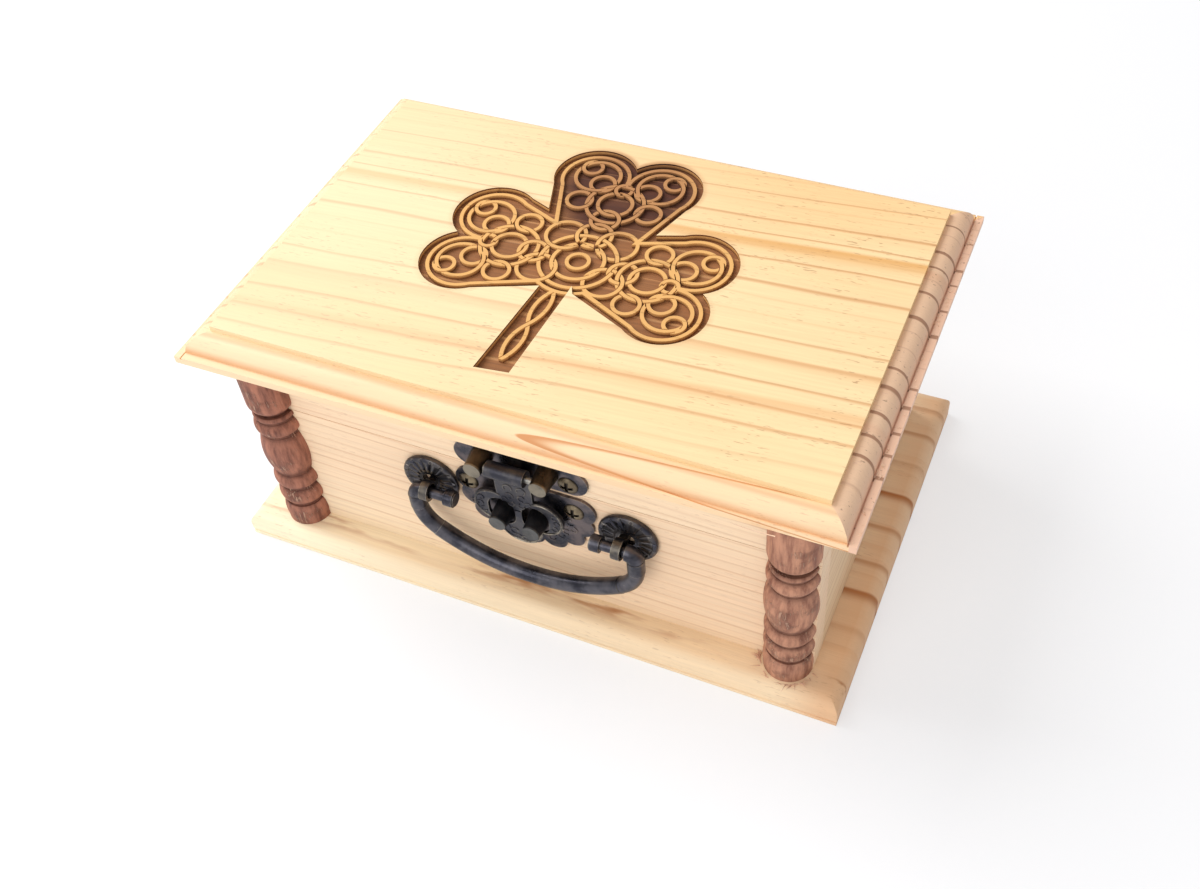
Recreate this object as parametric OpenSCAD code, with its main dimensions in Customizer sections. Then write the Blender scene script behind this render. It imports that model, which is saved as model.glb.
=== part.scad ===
// Small pine keepsake box with a hinged lid, split turned columns on its front corners,
// a two-stud hasp latch and a bail pull, and a shamrock cut into the lid and filled with
// interlaced bands.
// Millimetres. The origin is under the middle of the base, +Z is up and -Y is the front.

/* [Box] */
// Width of the box over its end walls
body_w = 143; // [100:1:240]
// Depth of the box over its front and back walls
body_d = 86.4; // [64:0.2:160]
// Thickness of every wall and skirt board
wall_t = 7; // [5:0.5:12]
// Height of the box walls, from the base to the saw cut
wall_h = 39.5; // [36:0.5:80]
// Thickness of the base board
base_t = 7; // [5:0.5:12]
// How far the base stands out past the walls
base_over = 8.5; // [5:0.5:14]
// Radius of the rounding along the base's upper edge
base_round = 3; // [1:0.5:4]
// Height of the saw kerf between the box and its lid
kerf = 0.2; // [0.1:0.05:0.4]

/* [Lid] */
// Height of the lid's skirt below its top board
skirt_h = 18.8; // [16:0.2:30]
// Thickness of the lid's top board
lid_t = 7.4; // [6.4:0.2:12]
// How far the top board stands out past the end walls
lid_over_side = 8.4; // [7.4:0.2:14]
// How far the top board stands out past the front and back walls
lid_over_front = 10; // [7.4:0.2:14]
// Drop from the panel to the top of the moulding
panel_step = 1.5; // [0.5:0.1:2]
// Radius of the moulding's quarter round
ovolo_r = 4; // [2.5:0.1:4]
// Width of the flat strip above the quarter round
ovolo_flat = 0.9; // [0.4:0.1:2]
// Width of the square lip below the quarter round
lip_w = 2; // [1.5:0.1:3]
// Width of the quirk between the quarter round and the lip at the ends
quirk_w = 0.35; // [0.2:0.05:0.5]
// How much narrower the front lip is at its right end, where it was trimmed out of square
lip_trim = 1.6; // [0:0.1:1.8]

/* [Columns] */
// Radius of the turned columns at their widest
col_r = 6; // [4.5:0.5:7]
// Depth of the grooves between the beads
col_groove = 1; // [0.5:0.1:1.5]
// Height of the foot
foot_h = 6.6; // [4:0.2:8]
// Height of the lower bead
low_bead_h = 5.2; // [3:0.2:6]
// Height of the middle bead
mid_bead_h = 4.7; // [3:0.2:6]
// Height of the bead over the long bulb
top_bead_h = 4.3; // [3:0.2:6]
// Height of the thin ring at the saw cut
ring_h = 1.5; // [1:0.1:2.5]
// Height of each groove
groove_h = 0.8; // [0.5:0.1:1.2]

/* [Shamrock] */
// Sideways place of the shamrock's middle
leaf_x = -2.7; // [-10:0.1:10]
// Place of the shamrock's middle, front to back
leaf_y = 2; // [-4:0.1:3]
// Length of the top leaf
top_leaf = 40.3; // [36:0.1:41]
// Length of the side leaves
side_leaf = 36.2; // [32:0.1:40]
// Radius of the round lobes
lobe_r = 10.4; // [9:0.1:10.8]
// Distance of a lobe's centre from its leaf's middle line
lobe_x = 8.6; // [7.5:0.1:8.8]
// Length of the stem below the middle
stem_l = 39.5; // [30:0.5:42]
// Depth of the cut
cut_depth = 1.6; // [1:0.1:2.5]
// Height of the raised bands above the floor
band_h = 1.1; // [0.5:0.1:1.5]
// Width of a raised band
band_w = 0.9; // [0.7:0.1:1.2]
// Gap where one band passes under another
weave_gap = 0.25; // [0.15:0.05:0.4]
// Radius of the ring that ties the leaves together
heart_r = 6.2; // [5.8:0.1:6.6]
// Distance from a leaf's outline to the band along it
border_inset = 1.6; // [1:0.1:2.4]

/* [Latch] */
// Sideways place of the latch
latch_x = 0.8; // [-10:0.1:10]
// How far the plates' outlines sit to the right of their posts and studs
plate_shift = 1; // [-1:0.1:1]
// Width of the scalloped keeper
keeper_w = 35.6; // [34:0.2:44]
// Thickness of the fixed plates
plate_t = 0.8; // [0.6:0.1:1.2]
// Thickness of the hasp
hasp_t = 0.9; // [0.6:0.1:1.2]
// Distance of the posts from the middle
post_x = 8.1; // [8:0.1:10]
// Distance of the studs from the middle
stud_x = 4.3; // [4.2:0.1:5]
// Drop from the hasp's pin to the studs
stud_drop = 17.3; // [17:0.1:17.8]
// Distance of the hasp's round shoulders from its middle
hasp_lobe_x = 6.1; // [5.8:0.1:6.4]
// Radius of posts and studs at their round ends
stud_tip_r = 2.1; // [1.6:0.1:2.2]
// How far the posts and studs stand out from the wall
stud_out = 6.2; // [5.8:0.1:8]
// Diameter of the hasp's pin
pin_d = 1.7; // [1.2:0.1:2]
// Height of the hasp's pin over the saw cut
pin_rise = 5.7; // [5.4:0.1:8]

/* [Bail pull] */
// How far the pull's middle is to the right of the keeper's
pull_shift = 0.3; // [-1:0.1:1]
// Height of the eyes over the base board
pull_z = 30.3; // [26:0.1:60]
// Sideways gap between the keeper and the rosettes
pull_gap = 0.1; // [0.1:0.1:10]
// Width of the strip that the eyes are bent from
eye_w = 2.1; // [1.6:0.1:2.6]
// Thickness of the strip
eye_t = 0.7; // [0.5:0.05:0.9]
// How much wider the eyes are than the bail's ends, on the radius
eye_slack = 0.55; // [0.1:0.05:0.7]
// Diameter of the rosettes
rosette_d = 14.6; // [10:0.2:18]
// How far each rosette has slipped outwards on its eye
rosette_slip = 0.8; // [0:0.1:0.8]
// Diameter of the bail's rod
rod_d = 4.2; // [3.4:0.1:5]
// Diameter of the bail's thin ends
neck_d = 2.6; // [2:0.1:3.2]
// Diameter of the heads on the thin ends
bail_head_d = 4.1; // [3.6:0.1:5]
// Drop from the pivot to the middle of the rod
bail_drop = 20.8; // [20:0.1:24]
// Radius of the long bow at the bottom
bow_r = 42; // [40:1:60]
// Sideways play of the bail in its eyes
bail_play = 0.35; // [0:0.05:1.2]

/* [Hinges] */
// Distance from the ends of the box to the hinges' middles
hinge_inset = 26.5; // [16:0.5:40]
// Length of each hinge
hinge_l = 22; // [18:1:26]
// Height of each leaf
hinge_leaf_h = 9; // [8:0.5:12]
// Thickness of the leaves
hinge_leaf_t = 1; // [0.8:0.1:1.2]
// Radius of the knuckles
knuckle_r = 1.7; // [1.5:0.1:2]
// Diameter of the hinge pins
hinge_pin_d = 1.7; // [1.2:0.1:2]

/* [Screws] */
// Radius of the latch screws' heads
screw_head_r = 2.5; // [2:0.1:3]
// Height of the latch screws' heads
screw_head_h = 1; // [0.6:0.1:1.4]
// Radius of the latch screws' shanks
screw_r = 1.1; // [0.8:0.1:1.4]
// Length of the latch screws in the wood
screw_l = 5.5; // [3:0.5:6]
// Radius of the hinge screws' heads
hinge_screw_head_r = 1.9; // [1.5:0.1:2.2]

/* [Hidden] */
$fn = 96;
// Overshoot of cutting shapes past the faces they cut.
eps = 0.5;
// Play of a pin in a knuckle or eye, on the radius.
turn_clear = 0.08;
// Space between parts that move past each other.
move_clear = 0.35;

// How far each leaf is turned from the top one; the right one droops.
leaf_turns = [-93, 0, 90];

// Heights of the stack.
seam_z = base_t + wall_h;
skirt_z = seam_z + kerf;
lid_z = skirt_z + skirt_h;
top_z = lid_z + lid_t;

// Outer sizes.
base_w = body_w + 2 * base_over;
base_d = body_d + 2 * base_over;
lid_w = body_w + 2 * lid_over_side;
lid_d = body_d + 2 * lid_over_front;
front_y = -body_d / 2;
back_y = body_d / 2;
lip_h = lid_t - panel_step - ovolo_r;
mould_w = ovolo_flat + ovolo_r + lip_w;

// Columns stand with their outer side flush with the wall's end.
col_x = body_w / 2 - col_r;
// The long bulb takes what the other turnings leave.
bulb_h = wall_h - foot_h - low_bead_h - mid_bead_h - top_bead_h - ring_h - 5 * groove_h;

// Latch.
pin_z = seam_z + pin_rise;
pin_y = front_y - 4.2;
hasp_knuckle_r = 2;
hasp_back_y = pin_y + hasp_knuckle_r;
hasp_knuckle_l = 9.6;
hasp_knuckle_shift = -0.5;
post_base_r = 2.7;
stud_base_r = 2.8;
stud_z = pin_z - stud_drop;
keeper_top_z = seam_z - 1.2;
keeper_lobe_x = keeper_w / 2 - 4.2;
keeper_screw_x = keeper_lobe_x - 0.2;
keeper_screw_z = seam_z - 5.8;
// The upper screw's head all but touches the right post's foot.
screw_reach = post_base_r + screw_head_r + 0.06;
latch_screw_x = post_x + screw_reach * cos(26.6);
latch_screw_z = pin_z - screw_reach * sin(26.6);
latch_plate_h = 12.5;

// Bail pull. Its rosettes stand clear of the keeper, and the bail's thin ends rest in the
// bottoms of their eyes.
pull_x = latch_x + plate_shift + pull_shift;
eye_pitch = keeper_w + rosette_d + 2 * (pull_gap - rosette_slip);
eye_z = base_t + pull_z;
pivot_y = front_y - 4.5;
eye_in_r = neck_d / 2 + eye_slack;
eye_out_r = eye_in_r + eye_t;
pivot_z = eye_z - eye_slack + 0.15;
leg_l = 6;
shank_hole_r = norm([eye_w / 2, eye_t]) + 0.15;
rosette_hole_r = eye_w / 2 + rosette_slip + 0.15;
elbow_bend_r = rod_d / 2;
neck_end = eye_pitch / 2 + bail_play + eye_w / 2 + 0.15;
bail_side = neck_end + elbow_bend_r;
bail_head_l = 2.6;
bail_head_x = eye_pitch / 2 - 7.2;
bail_straight = 5.5;
bow_y = -bail_drop + bow_r;
corner_r = ((bail_side ^ 2) + (-bail_straight - bow_y) ^ 2 - bow_r ^ 2) / (2 * (bail_side - bow_r));
corner_a = atan2(-bail_straight - bow_y, bail_side - corner_r);
// The rod is drawn a little thinner where it was bent.
bend_rod_r = rod_d / 2 - 0.1;

// Hinges.
hinge_x = body_w / 2 - hinge_inset;
hinge_y = back_y + knuckle_r + move_clear;
hinge_z = seam_z + kerf / 2;
knuckle_l = hinge_l / 3;
hinge_screw_x = hinge_l / 2 - 3.5;
hinge_screw_z = hinge_leaf_h - 3.2;

// General shapes

// Stands a flat outline up on the plane y = 0 and thickens it towards the front.
module upright(t) {
    rotate([90, 0, 0])
        linear_extrude(t)
            children();
}

// A board with its middle on the Z axis.
module board(w, d, h) {
    translate([-w / 2, -d / 2, 0])
        cube([w, d, h]);
}

// Makes a copy at +x and one at -x.
module both_sides(x) {
    for (side = [-1, 1])
        translate([side * x, 0, 0])
            children();
}

// A rod along X between two places.
module rod_x(x0, x1, r) {
    translate([x0, 0, 0])
        rotate([0, 90, 0])
            cylinder(h = x1 - x0, r = r);
}

// A ring of a given middle radius and width.
module ring(r, w) {
    difference() {
        circle(r = r + w / 2);
        circle(r = r - w / 2);
    }
}

// A screw whose head stands on the plane y = 0, with a cross recess; it drives towards +Y.
module screw(head_r, head_h, shank_r, length) {
    recess = head_r * 0.55;
    rotate([90, 0, 0]) {
        difference() {
            intersection() {
                cylinder(h = head_h, r = head_r);
                translate([0, 0, head_h - head_r * 1.6])
                    sphere(r = head_r * 1.6);
            }
            for (turn = [0, 90])
                rotate([0, 0, turn])
                    translate([-recess, -recess / 4, head_h * 0.45])
                        cube([2 * recess, recess / 2, head_h]);
        }
        shank(shank_r, length, head_h * 0.2);
    }
}

// A pointed shank down the Z axis, from start above the plane z = 0.
module shank(r, length, start) {
    rotate_extrude()
        polygon([[0, start], [r, start], [r, r - length], [0.2, -length], [0, -length]]);
}

// The hole that a screw's shank fills.
module pilot(shank_r, length) {
    rotate([90, 0, 0])
        shank(shank_r, length, eps);
}

// Box

// Section of the base across one pair of edges: rounded above, with a thin bead line below.
module base_section(w) {
    difference() {
        union() {
            translate([-w / 2, 0])
                square([w, base_t - base_round]);
            translate([-w / 2 + base_round, 0])
                square([w - 2 * base_round, base_t]);
            for (side = [-1, 1])
                translate([side * (w / 2 - base_round), base_t - base_round])
                    circle(r = base_round);
        }
        for (side = [-1, 1])
            translate([side * w / 2, 1.4])
                circle(r = 0.3);
    }
}

// The base is the meeting of its two sections, so its moulding turns the corners in mitres.
module base_board() {
    color("Khaki")
        intersection() {
            translate([0, base_d / 2, 0])
                upright(base_d)
                    base_section(base_w);
            rotate([0, 0, 90])
                translate([0, base_w / 2, 0])
                    upright(base_w)
                        base_section(base_d);
        }
}

// Places of the two eye shanks on the front wall.
module at_eyes() {
    translate([pull_x, 0, eye_z])
        both_sides(eye_pitch / 2)
            children();
}

// Places of the screws in one hinge leaf pair; up is 1 for the lid and -1 for the box.
module at_hinge_screws(up) {
    both_sides(hinge_x)
        both_sides(hinge_screw_x)
            translate([0, back_y, hinge_z + up * hinge_screw_z])
                rotate([0, 0, 180])
                    children();
}

module front_wall() {
    color("Wheat")
        difference() {
            translate([0, front_y + wall_t / 2, base_t])
                board(body_w, wall_t, wall_h);
            at_eyes()
                translate([0, front_y - eps, 0])
                    rotate([-90, 0, 0])
                        cylinder(h = wall_t + 2 * eps, r = shank_hole_r);
            translate([latch_x, front_y, keeper_screw_z])
                both_sides(keeper_screw_x)
                    pilot(screw_r, screw_l - plate_t);
        }
}

module back_wall() {
    color("Wheat")
        difference() {
            translate([0, back_y - wall_t / 2, base_t])
                board(body_w, wall_t, wall_h);
            at_hinge_screws(-1)
                pilot(screw_r * 0.8, screw_l - hinge_leaf_t);
        }
}

// An end board between the front and back ones.
module end_board(side, z, h) {
    translate([side * (body_w - wall_t) / 2, 0, z])
        board(wall_t, body_d - 2 * wall_t, h);
}

module left_wall() {
    color("BurlyWood")
        end_board(-1, base_t, wall_h);
}

module right_wall() {
    color("BurlyWood")
        end_board(1, base_t, wall_h);
}

// Columns

// Radius of the arc that swells by d over a height h.
function swell_radius(h, d) = (h * h / 4 + d * d) / (2 * d);

// Half section of a turning that swells from r - d at its ends to r at its middle.
module swell(z, h, r, d) {
    arc = swell_radius(h, d);
    translate([0, z])
        intersection() {
            square([r, h]);
            translate([r - arc, h / 2])
                circle(r = arc);
        }
}

// Half section of a plain cylinder.
module drum(z, h, r) {
    translate([0, z])
        square([r, h]);
}

// Half of a turning, split down its axis and glued by its flat to the front wall.
module half_turning(side, z) {
    translate([side * col_x, front_y, z])
        rotate([0, 0, 180])
            rotate_extrude(angle = 180)
                children();
}

// The turnings between the base and the saw cut, from the foot up.
module column_section() {
    low_z = foot_h + groove_h;
    mid_z = low_z + low_bead_h + groove_h;
    bulb_z = mid_z + mid_bead_h + groove_h;
    top_z = bulb_z + bulb_h + groove_h;
    drum(0, wall_h, col_r - col_groove);
    drum(0, foot_h * 0.55, col_r - 0.15);
    swell(0, foot_h, col_r, 0.6);
    swell(low_z, low_bead_h, col_r, 0.9);
    swell(mid_z, mid_bead_h, col_r, 0.9);
    swell(bulb_z, bulb_h, col_r + 0.3, 1.2);
    swell(top_z, top_bead_h, col_r, 0.9);
    swell(wall_h - ring_h, ring_h, col_r - 0.5, 0.3);
}

// The plain drum above the saw cut, drawn in at its lower end.
module column_cap_section() {
    drum_z = 3.4;
    drum(0, skirt_h, col_r - 1.6);
    drum(drum_z, skirt_h - drum_z, col_r);
    intersection() {
        square([col_r, drum_z]);
        translate([col_r - drum_z, drum_z])
            circle(r = drum_z);
    }
}

module left_column() {
    color("Sienna")
        half_turning(-1, base_t)
            column_section();
}

module right_column() {
    color("Sienna")
        half_turning(1, base_t)
            column_section();
}

module left_column_cap() {
    color("Sienna")
        half_turning(-1, skirt_z)
            column_cap_section();
}

module right_column_cap() {
    color("Sienna")
        half_turning(1, skirt_z)
            column_cap_section();
}

// Lid

// Section of the top board across one pair of edges: panel, quarter round and lip, with an
// optional quirk between the last two.
module lid_section(w, quirk) {
    panel = w - 2 * mould_w;
    shoulder = panel / 2 + ovolo_flat;
    difference() {
        union() {
            translate([-panel / 2, 0])
                square([panel, lid_t]);
            translate([-shoulder, 0])
                square([2 * shoulder, lip_h + ovolo_r]);
            translate([-w / 2, 0])
                square([w, lip_h]);
            intersection() {
                translate([-w / 2, 0])
                    square([w, lid_t]);
                for (side = [-1, 1])
                    translate([side * shoulder, lip_h])
                        circle(r = ovolo_r);
            }
        }
        if (quirk > 0) for (side = [-1, 1])
            translate([side * (shoulder + ovolo_r + quirk / 2) - quirk / 2, lip_h - 0.5])
                square([quirk, 1]);
    }
}

// Outline of one leaf, drawn upwards from the shamrock's middle and drawn in by inset.
module leaf(length, inset = 0) {
    lobe_y = length - lobe_r;
    r = lobe_r - inset;
    for (side = [-1, 1])
        translate([side * lobe_x, lobe_y])
            circle(r = r);
    polygon([
        [-lobe_x - 0.97 * r * cos(15), lobe_y - 0.97 * r * sin(15)],
        [-lobe_x, lobe_y],
        [lobe_x, lobe_y],
        [lobe_x + 0.97 * r * cos(15), lobe_y - 0.97 * r * sin(15)],
        [11 - 1.25 * inset, 4.3],
        [0, -2 + inset],
        [-11 + 1.25 * inset, 4.3],
    ]);
}

// Outline of the leaning stem, drawn in by inset at its sides and foot.
module stem(inset = 0) {
    polygon([
        [-4.4 + inset, 0],
        [2.5 - inset, 0],
        [2.5 - inset, -11],
        [1.2 - inset, -stem_l + 1 + inset],
        [-7 + inset, -stem_l + inset],
        [-4.6 + inset, -11],
    ]);
}

// Turns a leaf to its place: the top one, and one to each side.
module each_leaf() {
    for (turn = leaf_turns)
        rotate([0, 0, turn]) {
            $leaf = turn == 0 ? top_leaf : side_leaf;
            children();
        }
}

// A band's ring [x, y, r], wider by extra on both sides.
module ring_at(at, extra = 0) {
    translate([at[0], at[1]])
        ring(at[2], band_w + 2 * extra, $fn = 40);
}

// The part of a band near one crossing.
module crossing(at) {
    intersection() {
        translate(at)
            circle(r = band_w * 1.7);
        children();
    }
}

// A ring [x, y, r] of the top leaf turned about the shamrock's middle.
function turned(at, a) = [at[0] * cos(a) - at[1] * sin(a), at[0] * sin(a) + at[1] * cos(a), at[2]];

// Whether two rings cross.
function meets(p, q) = let (apart = norm([q[0] - p[0], q[1] - p[1]]))
    apart < p[2] + q[2] - band_w / 2 && apart > abs(p[2] - q[2]) + band_w / 2;

// The crossing of two rings that lies to the left on the way from the first to the second.
function left_crossing(p, q) = let (
    reach = [q[0] - p[0], q[1] - p[1]],
    apart = norm(reach),
    along = (apart * apart + p[2] * p[2] - q[2] * q[2]) / (2 * apart),
    across = sqrt(p[2] * p[2] - along * along),
    unit = reach / apart
) [p[0] + unit[0] * along - unit[1] * across, p[1] + unit[1] * along + unit[0] * across];

// Rings woven together: of two that cross, each runs under the other once.
module woven(rings) {
    for (p = rings)
        difference() {
            ring_at(p);
            for (q = rings)
                if (p != q && meets(p, q))
                    crossing(left_crossing(p, q))
                        ring_at(q, weave_gap);
        }
}

// The rings of one leaf, drawn upwards: two knotted lobes and a chain down its middle.
function leaf_rings(length) = let (lobe_y = length - lobe_r) [
    for (side = [-1, 1])
        each [
            [side * (lobe_x - 0.3), lobe_y + 0.8, lobe_r - 4.8],
            [side * (lobe_x + 2.3), lobe_y + 3.7, 2.4],
            [side * (lobe_x - 2.6), lobe_y - 1.6, 3],
            [side * (lobe_x + 0.4), lobe_y - 9, 3.1],
        ],
    [0, lobe_y - 8, 7],
    [0, lobe_y - 8, 4.2],
    [0, lobe_y - 2.4, 2],
    [0, lobe_y - 14.2, 3.4],
];

// The rings that tie the leaves together.
heart_rings = [
    [0, 0, heart_r],
    [0, 0, heart_r + 3],
    [0, 0, 2.6],
    [0, 9.6, 4.2],
    for (side = [-1, 1])
        each [[side * 6.6, 7.8, 4.8], [side * 8.4, -5, 4.6]],
];

// Outline of the joined leaves, drawn in by inset and closed below by a round.
module clover(inset) {
    each_leaf()
        leaf($leaf, inset);
    circle(r = heart_r + 7 - inset);
}

// The band that follows the outline of the joined leaves.
module outer_band() {
    difference() {
        clover(border_inset);
        clover(border_inset + band_w);
    }
}

// Two strands that cross down the leaning stem, each row one turn of the twist.
module stem_bands() {
    row_h = 12;
    half_w = 1.6;
    strand_r = swell_radius(row_h, half_w);
    middle = strand_r - half_w;
    intersection() {
        stem(0.5);
        translate([-1, -11])
            rotate([0, 0, -4])
                for (row = [0:1])
                    translate([0, -row_h * (row + 0.5)])
                        intersection() {
                            square([4 * half_w, row_h], center = true);
                            woven([[-middle, 0, strand_r], [middle, 0, strand_r]]);
                        }
    }
}

module shamrock_bands() {
    outer_band();
    woven([
        for (turn = leaf_turns)
            for (at = leaf_rings(turn == 0 ? top_leaf : side_leaf))
                turned(at, turn),
        each heart_rings,
    ]);
    stem_bands();
}

// What was trimmed off the front lip.
module front_trim() {
    translate([0, -lid_d / 2, -eps])
        linear_extrude(lid_t)
            polygon([
                [-lid_w / 2 - 1, -1],
                [lid_w / 2 + 1, -1],
                [lid_w / 2 + 1, lip_trim],
                [-lid_w / 2, 0],
                [-lid_w / 2 - 1, 0],
            ]);
}

module lid_board() {
    color("Moccasin")
        translate([0, 0, lid_z]) {
            difference() {
                intersection() {
                    translate([0, lid_d / 2, 0])
                        upright(lid_d)
                            lid_section(lid_w, quirk_w);
                    rotate([0, 0, 90])
                        translate([0, lid_w / 2, 0])
                            upright(lid_w)
                                lid_section(lid_d, 0);
                }
                front_trim();
                translate([leaf_x, leaf_y, lid_t - cut_depth])
                    linear_extrude(cut_depth + eps) {
                        each_leaf()
                            leaf($leaf);
                        stem();
                    }
            }
            translate([leaf_x, leaf_y, lid_t - cut_depth - eps / 2])
                linear_extrude(band_h + eps / 2)
                    shamrock_bands();
        }
}

module front_skirt() {
    color("Wheat")
        difference() {
            translate([0, front_y + wall_t / 2, skirt_z])
                board(body_w, wall_t, skirt_h);
            translate([latch_x + latch_screw_x, front_y, latch_screw_z])
                pilot(screw_r, screw_l - plate_t);
        }
}

module back_skirt() {
    color("Wheat")
        difference() {
            translate([0, back_y - wall_t / 2, skirt_z])
                board(body_w, wall_t, skirt_h);
            at_hinge_screws(1)
                pilot(screw_r * 0.8, screw_l - hinge_leaf_t);
        }
}

module left_skirt() {
    color("BurlyWood")
        end_board(-1, skirt_z, skirt_h);
}

module right_skirt() {
    color("BurlyWood")
        end_board(1, skirt_z, skirt_h);
}

// Latch

// A tapered post or stud on a plate's face, standing out towards the front.
module stud(base_r, face_y) {
    translate([0, face_y, 0])
        rotate([90, 0, 0])
            cylinder(h = stud_out + face_y, r1 = base_r, r2 = stud_tip_r);
}

// Scalloped outline of the keeper, from its top edge down.
module keeper_outline() {
    difference() {
        translate([plate_shift, 0]) {
            translate([-keeper_lobe_x - 1, -7])
                square([2 * keeper_lobe_x + 2, 7]);
            translate([-10, -16])
                square([20, 12]);
            for (side = [-1, 1]) {
                translate([side * keeper_lobe_x, -4.2])
                    circle(r = 4.2);
                translate([side * (keeper_lobe_x - 0.2), -9.4])
                    circle(r = 3.6);
                translate([side * (keeper_lobe_x - 2.5), -14.2])
                    circle(r = 3.2);
                translate([side * (keeper_lobe_x - 7.3), -17])
                    circle(r = 3.3);
            }
            translate([0, -17.4])
                circle(r = 3.8);
        }
        for (side = [-1, 1]) {
            translate([side * stud_x, stud_z - keeper_top_z])
                circle(r = stud_base_r * 0.6);
            translate([side * keeper_screw_x, keeper_screw_z - keeper_top_z])
                circle(r = screw_r);
        }
    }
}

module keeper_plate() {
    color("DimGray")
        translate([latch_x, front_y, keeper_top_z])
            upright(plate_t)
                keeper_outline();
}

// Studs riveted through the keeper, with the hasp's holes around them.
module keeper_studs() {
    color("SlateGray")
        translate([latch_x, front_y, stud_z])
            both_sides(stud_x) {
                stud(stud_base_r, -plate_t);
                rotate([90, 0, 0])
                    cylinder(h = plate_t, r = stud_base_r * 0.6);
            }
}

module keeper_screws() {
    color("Goldenrod")
        translate([latch_x, front_y - plate_t, keeper_screw_z])
            both_sides(keeper_screw_x)
                screw(screw_head_r, screw_head_h, screw_r, screw_l);
}

// Outline of the upper plate, from the saw cut up.
module latch_plate_outline() {
    difference() {
        translate([plate_shift, 0]) {
            translate([-keeper_lobe_x + 1, 0])
                square([2 * keeper_lobe_x - 2, latch_plate_h - 2]);
            for (side = [-1, 1]) {
                translate([side * (keeper_lobe_x - 1), 4])
                    circle(r = 4);
                translate([side * 7.2, latch_plate_h - 3.4])
                    circle(r = 3.4);
            }
            translate([0, latch_plate_h - 3])
                circle(r = 4.2);
        }
        for (side = [-1, 1])
            translate([side * post_x, pin_z - skirt_z - kerf])
                circle(r = post_base_r * 0.6);
        translate([latch_screw_x, latch_screw_z - skirt_z - kerf])
            circle(r = screw_r);
    }
}

module latch_plate() {
    color("DimGray")
        translate([latch_x, front_y, skirt_z + kerf])
            upright(plate_t)
                latch_plate_outline();
}

// Posts riveted through the upper plate; the hasp's pin runs across them.
module latch_posts() {
    color("Peru")
        difference() {
            translate([latch_x, front_y, pin_z])
                both_sides(post_x) {
                    stud(post_base_r, -plate_t);
                    rotate([90, 0, 0])
                        cylinder(h = plate_t, r = post_base_r * 0.6);
                }
            translate([latch_x, pin_y, pin_z])
                rod_x(-post_x - 1, post_x + 1, pin_d / 2);
        }
}

module latch_pin() {
    color("Silver")
        translate([latch_x, pin_y, pin_z])
            rod_x(-post_x - 1, post_x + 1, pin_d / 2);
}

module latch_screw() {
    color("Goldenrod")
        translate([latch_x + latch_screw_x, front_y - plate_t, latch_screw_z])
            screw(screw_head_r, screw_head_h, screw_r, screw_l);
}

// Outline of the hasp below its pin, with its two tall holes.
module hasp_outline() {
    difference() {
        union() {
            translate([-4.6 + hasp_knuckle_shift / 2, -stud_drop + 3.3])
                square([9.2, stud_drop - 3.3]);
            for (side = [-1, 1])
                translate([side * hasp_lobe_x, -stud_drop + 2.5])
                    circle(r = 5.3);
            translate([0, -stud_drop - 2.8])
                circle(r = 5.7);
        }
        for (side = [-1, 1], rise = [0.3, 2.3])
            translate([side * stud_x, stud_z - pin_z + rise])
                circle(r = stud_base_r + 0.65);
        for (side = [-1, 1])
            translate([side * stud_x - stud_base_r - 0.65, stud_z - pin_z + 0.3])
                square([2 * stud_base_r + 1.3, 2]);
    }
}

// The hasp hangs from its knuckle, flat against the back of it.
module hasp() {
    knuckle_x = hasp_knuckle_shift - hasp_knuckle_l / 2;
    color("DarkSlateGray")
        difference() {
            union() {
                translate([latch_x, hasp_back_y, pin_z])
                    upright(hasp_t)
                        hasp_outline();
                translate([latch_x, pin_y, pin_z])
                    rod_x(knuckle_x, knuckle_x + hasp_knuckle_l, hasp_knuckle_r);
            }
            translate([latch_x, pin_y, pin_z])
                rod_x(knuckle_x - eps, knuckle_x + hasp_knuckle_l + eps, pin_d / 2 + turn_clear);
        }
}

// Bail pull

// Half section of a fluted rosette: a shallow dish with a raised rim and a boss.
module rosette_section() {
    r = rosette_d / 2;
    difference() {
        union() {
            drum(0, 1, r - 0.4);
            translate([r - 0.8, 0.8])
                circle(r = 0.8);
            polygon([[0, 0], [r * 0.8, 0], [r - 0.4, 1.2], [2.6, 1.5], [0, 1.5]]);
        }
        translate([-eps, -eps])
            square([rosette_hole_r + eps, 3]);
        translate([-1, -1])
            square([rosette_d, 1]);
    }
}

// The dish with its flutes running out from the boss to the rim.
module rosette(side) {
    flutes = 16;
    r = rosette_d / 2;
    translate([pull_x + side * (eye_pitch / 2 + rosette_slip), front_y, eye_z])
        rotate([90, 0, 0])
            difference() {
                rotate_extrude()
                    rosette_section();
                for (k = [0:flutes - 1])
                    rotate([0, 0, (k + 0.5) * 360 / flutes])
                        translate([3.2, 0, 1.9])
                            rotate([0, 90, 0])
                                cylinder(h = r, r1 = 0.35, r2 = 0.8);
            }
}

module left_rosette() {
    color("DarkSlateGray")
        rosette(-1);
}

module right_rosette() {
    color("DarkSlateGray")
        rosette(1);
}

// An eye of bent strip: its loop holds the bail, its two legs pass through the wall and
// turn up and down against the inner face.
module eye(side) {
    shank_start = eye_out_r - 0.4;
    shank_l = front_y + wall_t - pivot_y - shank_start;
    translate([pull_x + side * eye_pitch / 2, pivot_y, eye_z])
        difference() {
            union() {
                rod_x(-eye_w / 2, eye_w / 2, eye_out_r);
                translate([-eye_w / 2, shank_start, -eye_t])
                    cube([eye_w, shank_l + eye_t, 2 * eye_t]);
                translate([-eye_w / 2, shank_start + shank_l, -leg_l])
                    cube([eye_w, eye_t, 2 * leg_l]);
            }
            rod_x(-eye_w / 2 - eps, eye_w / 2 + eps, eye_in_r);
        }
}

module left_eye() {
    color("Gray")
        eye(-1);
}

module right_eye() {
    color("Gray")
        eye(1);
}

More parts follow.
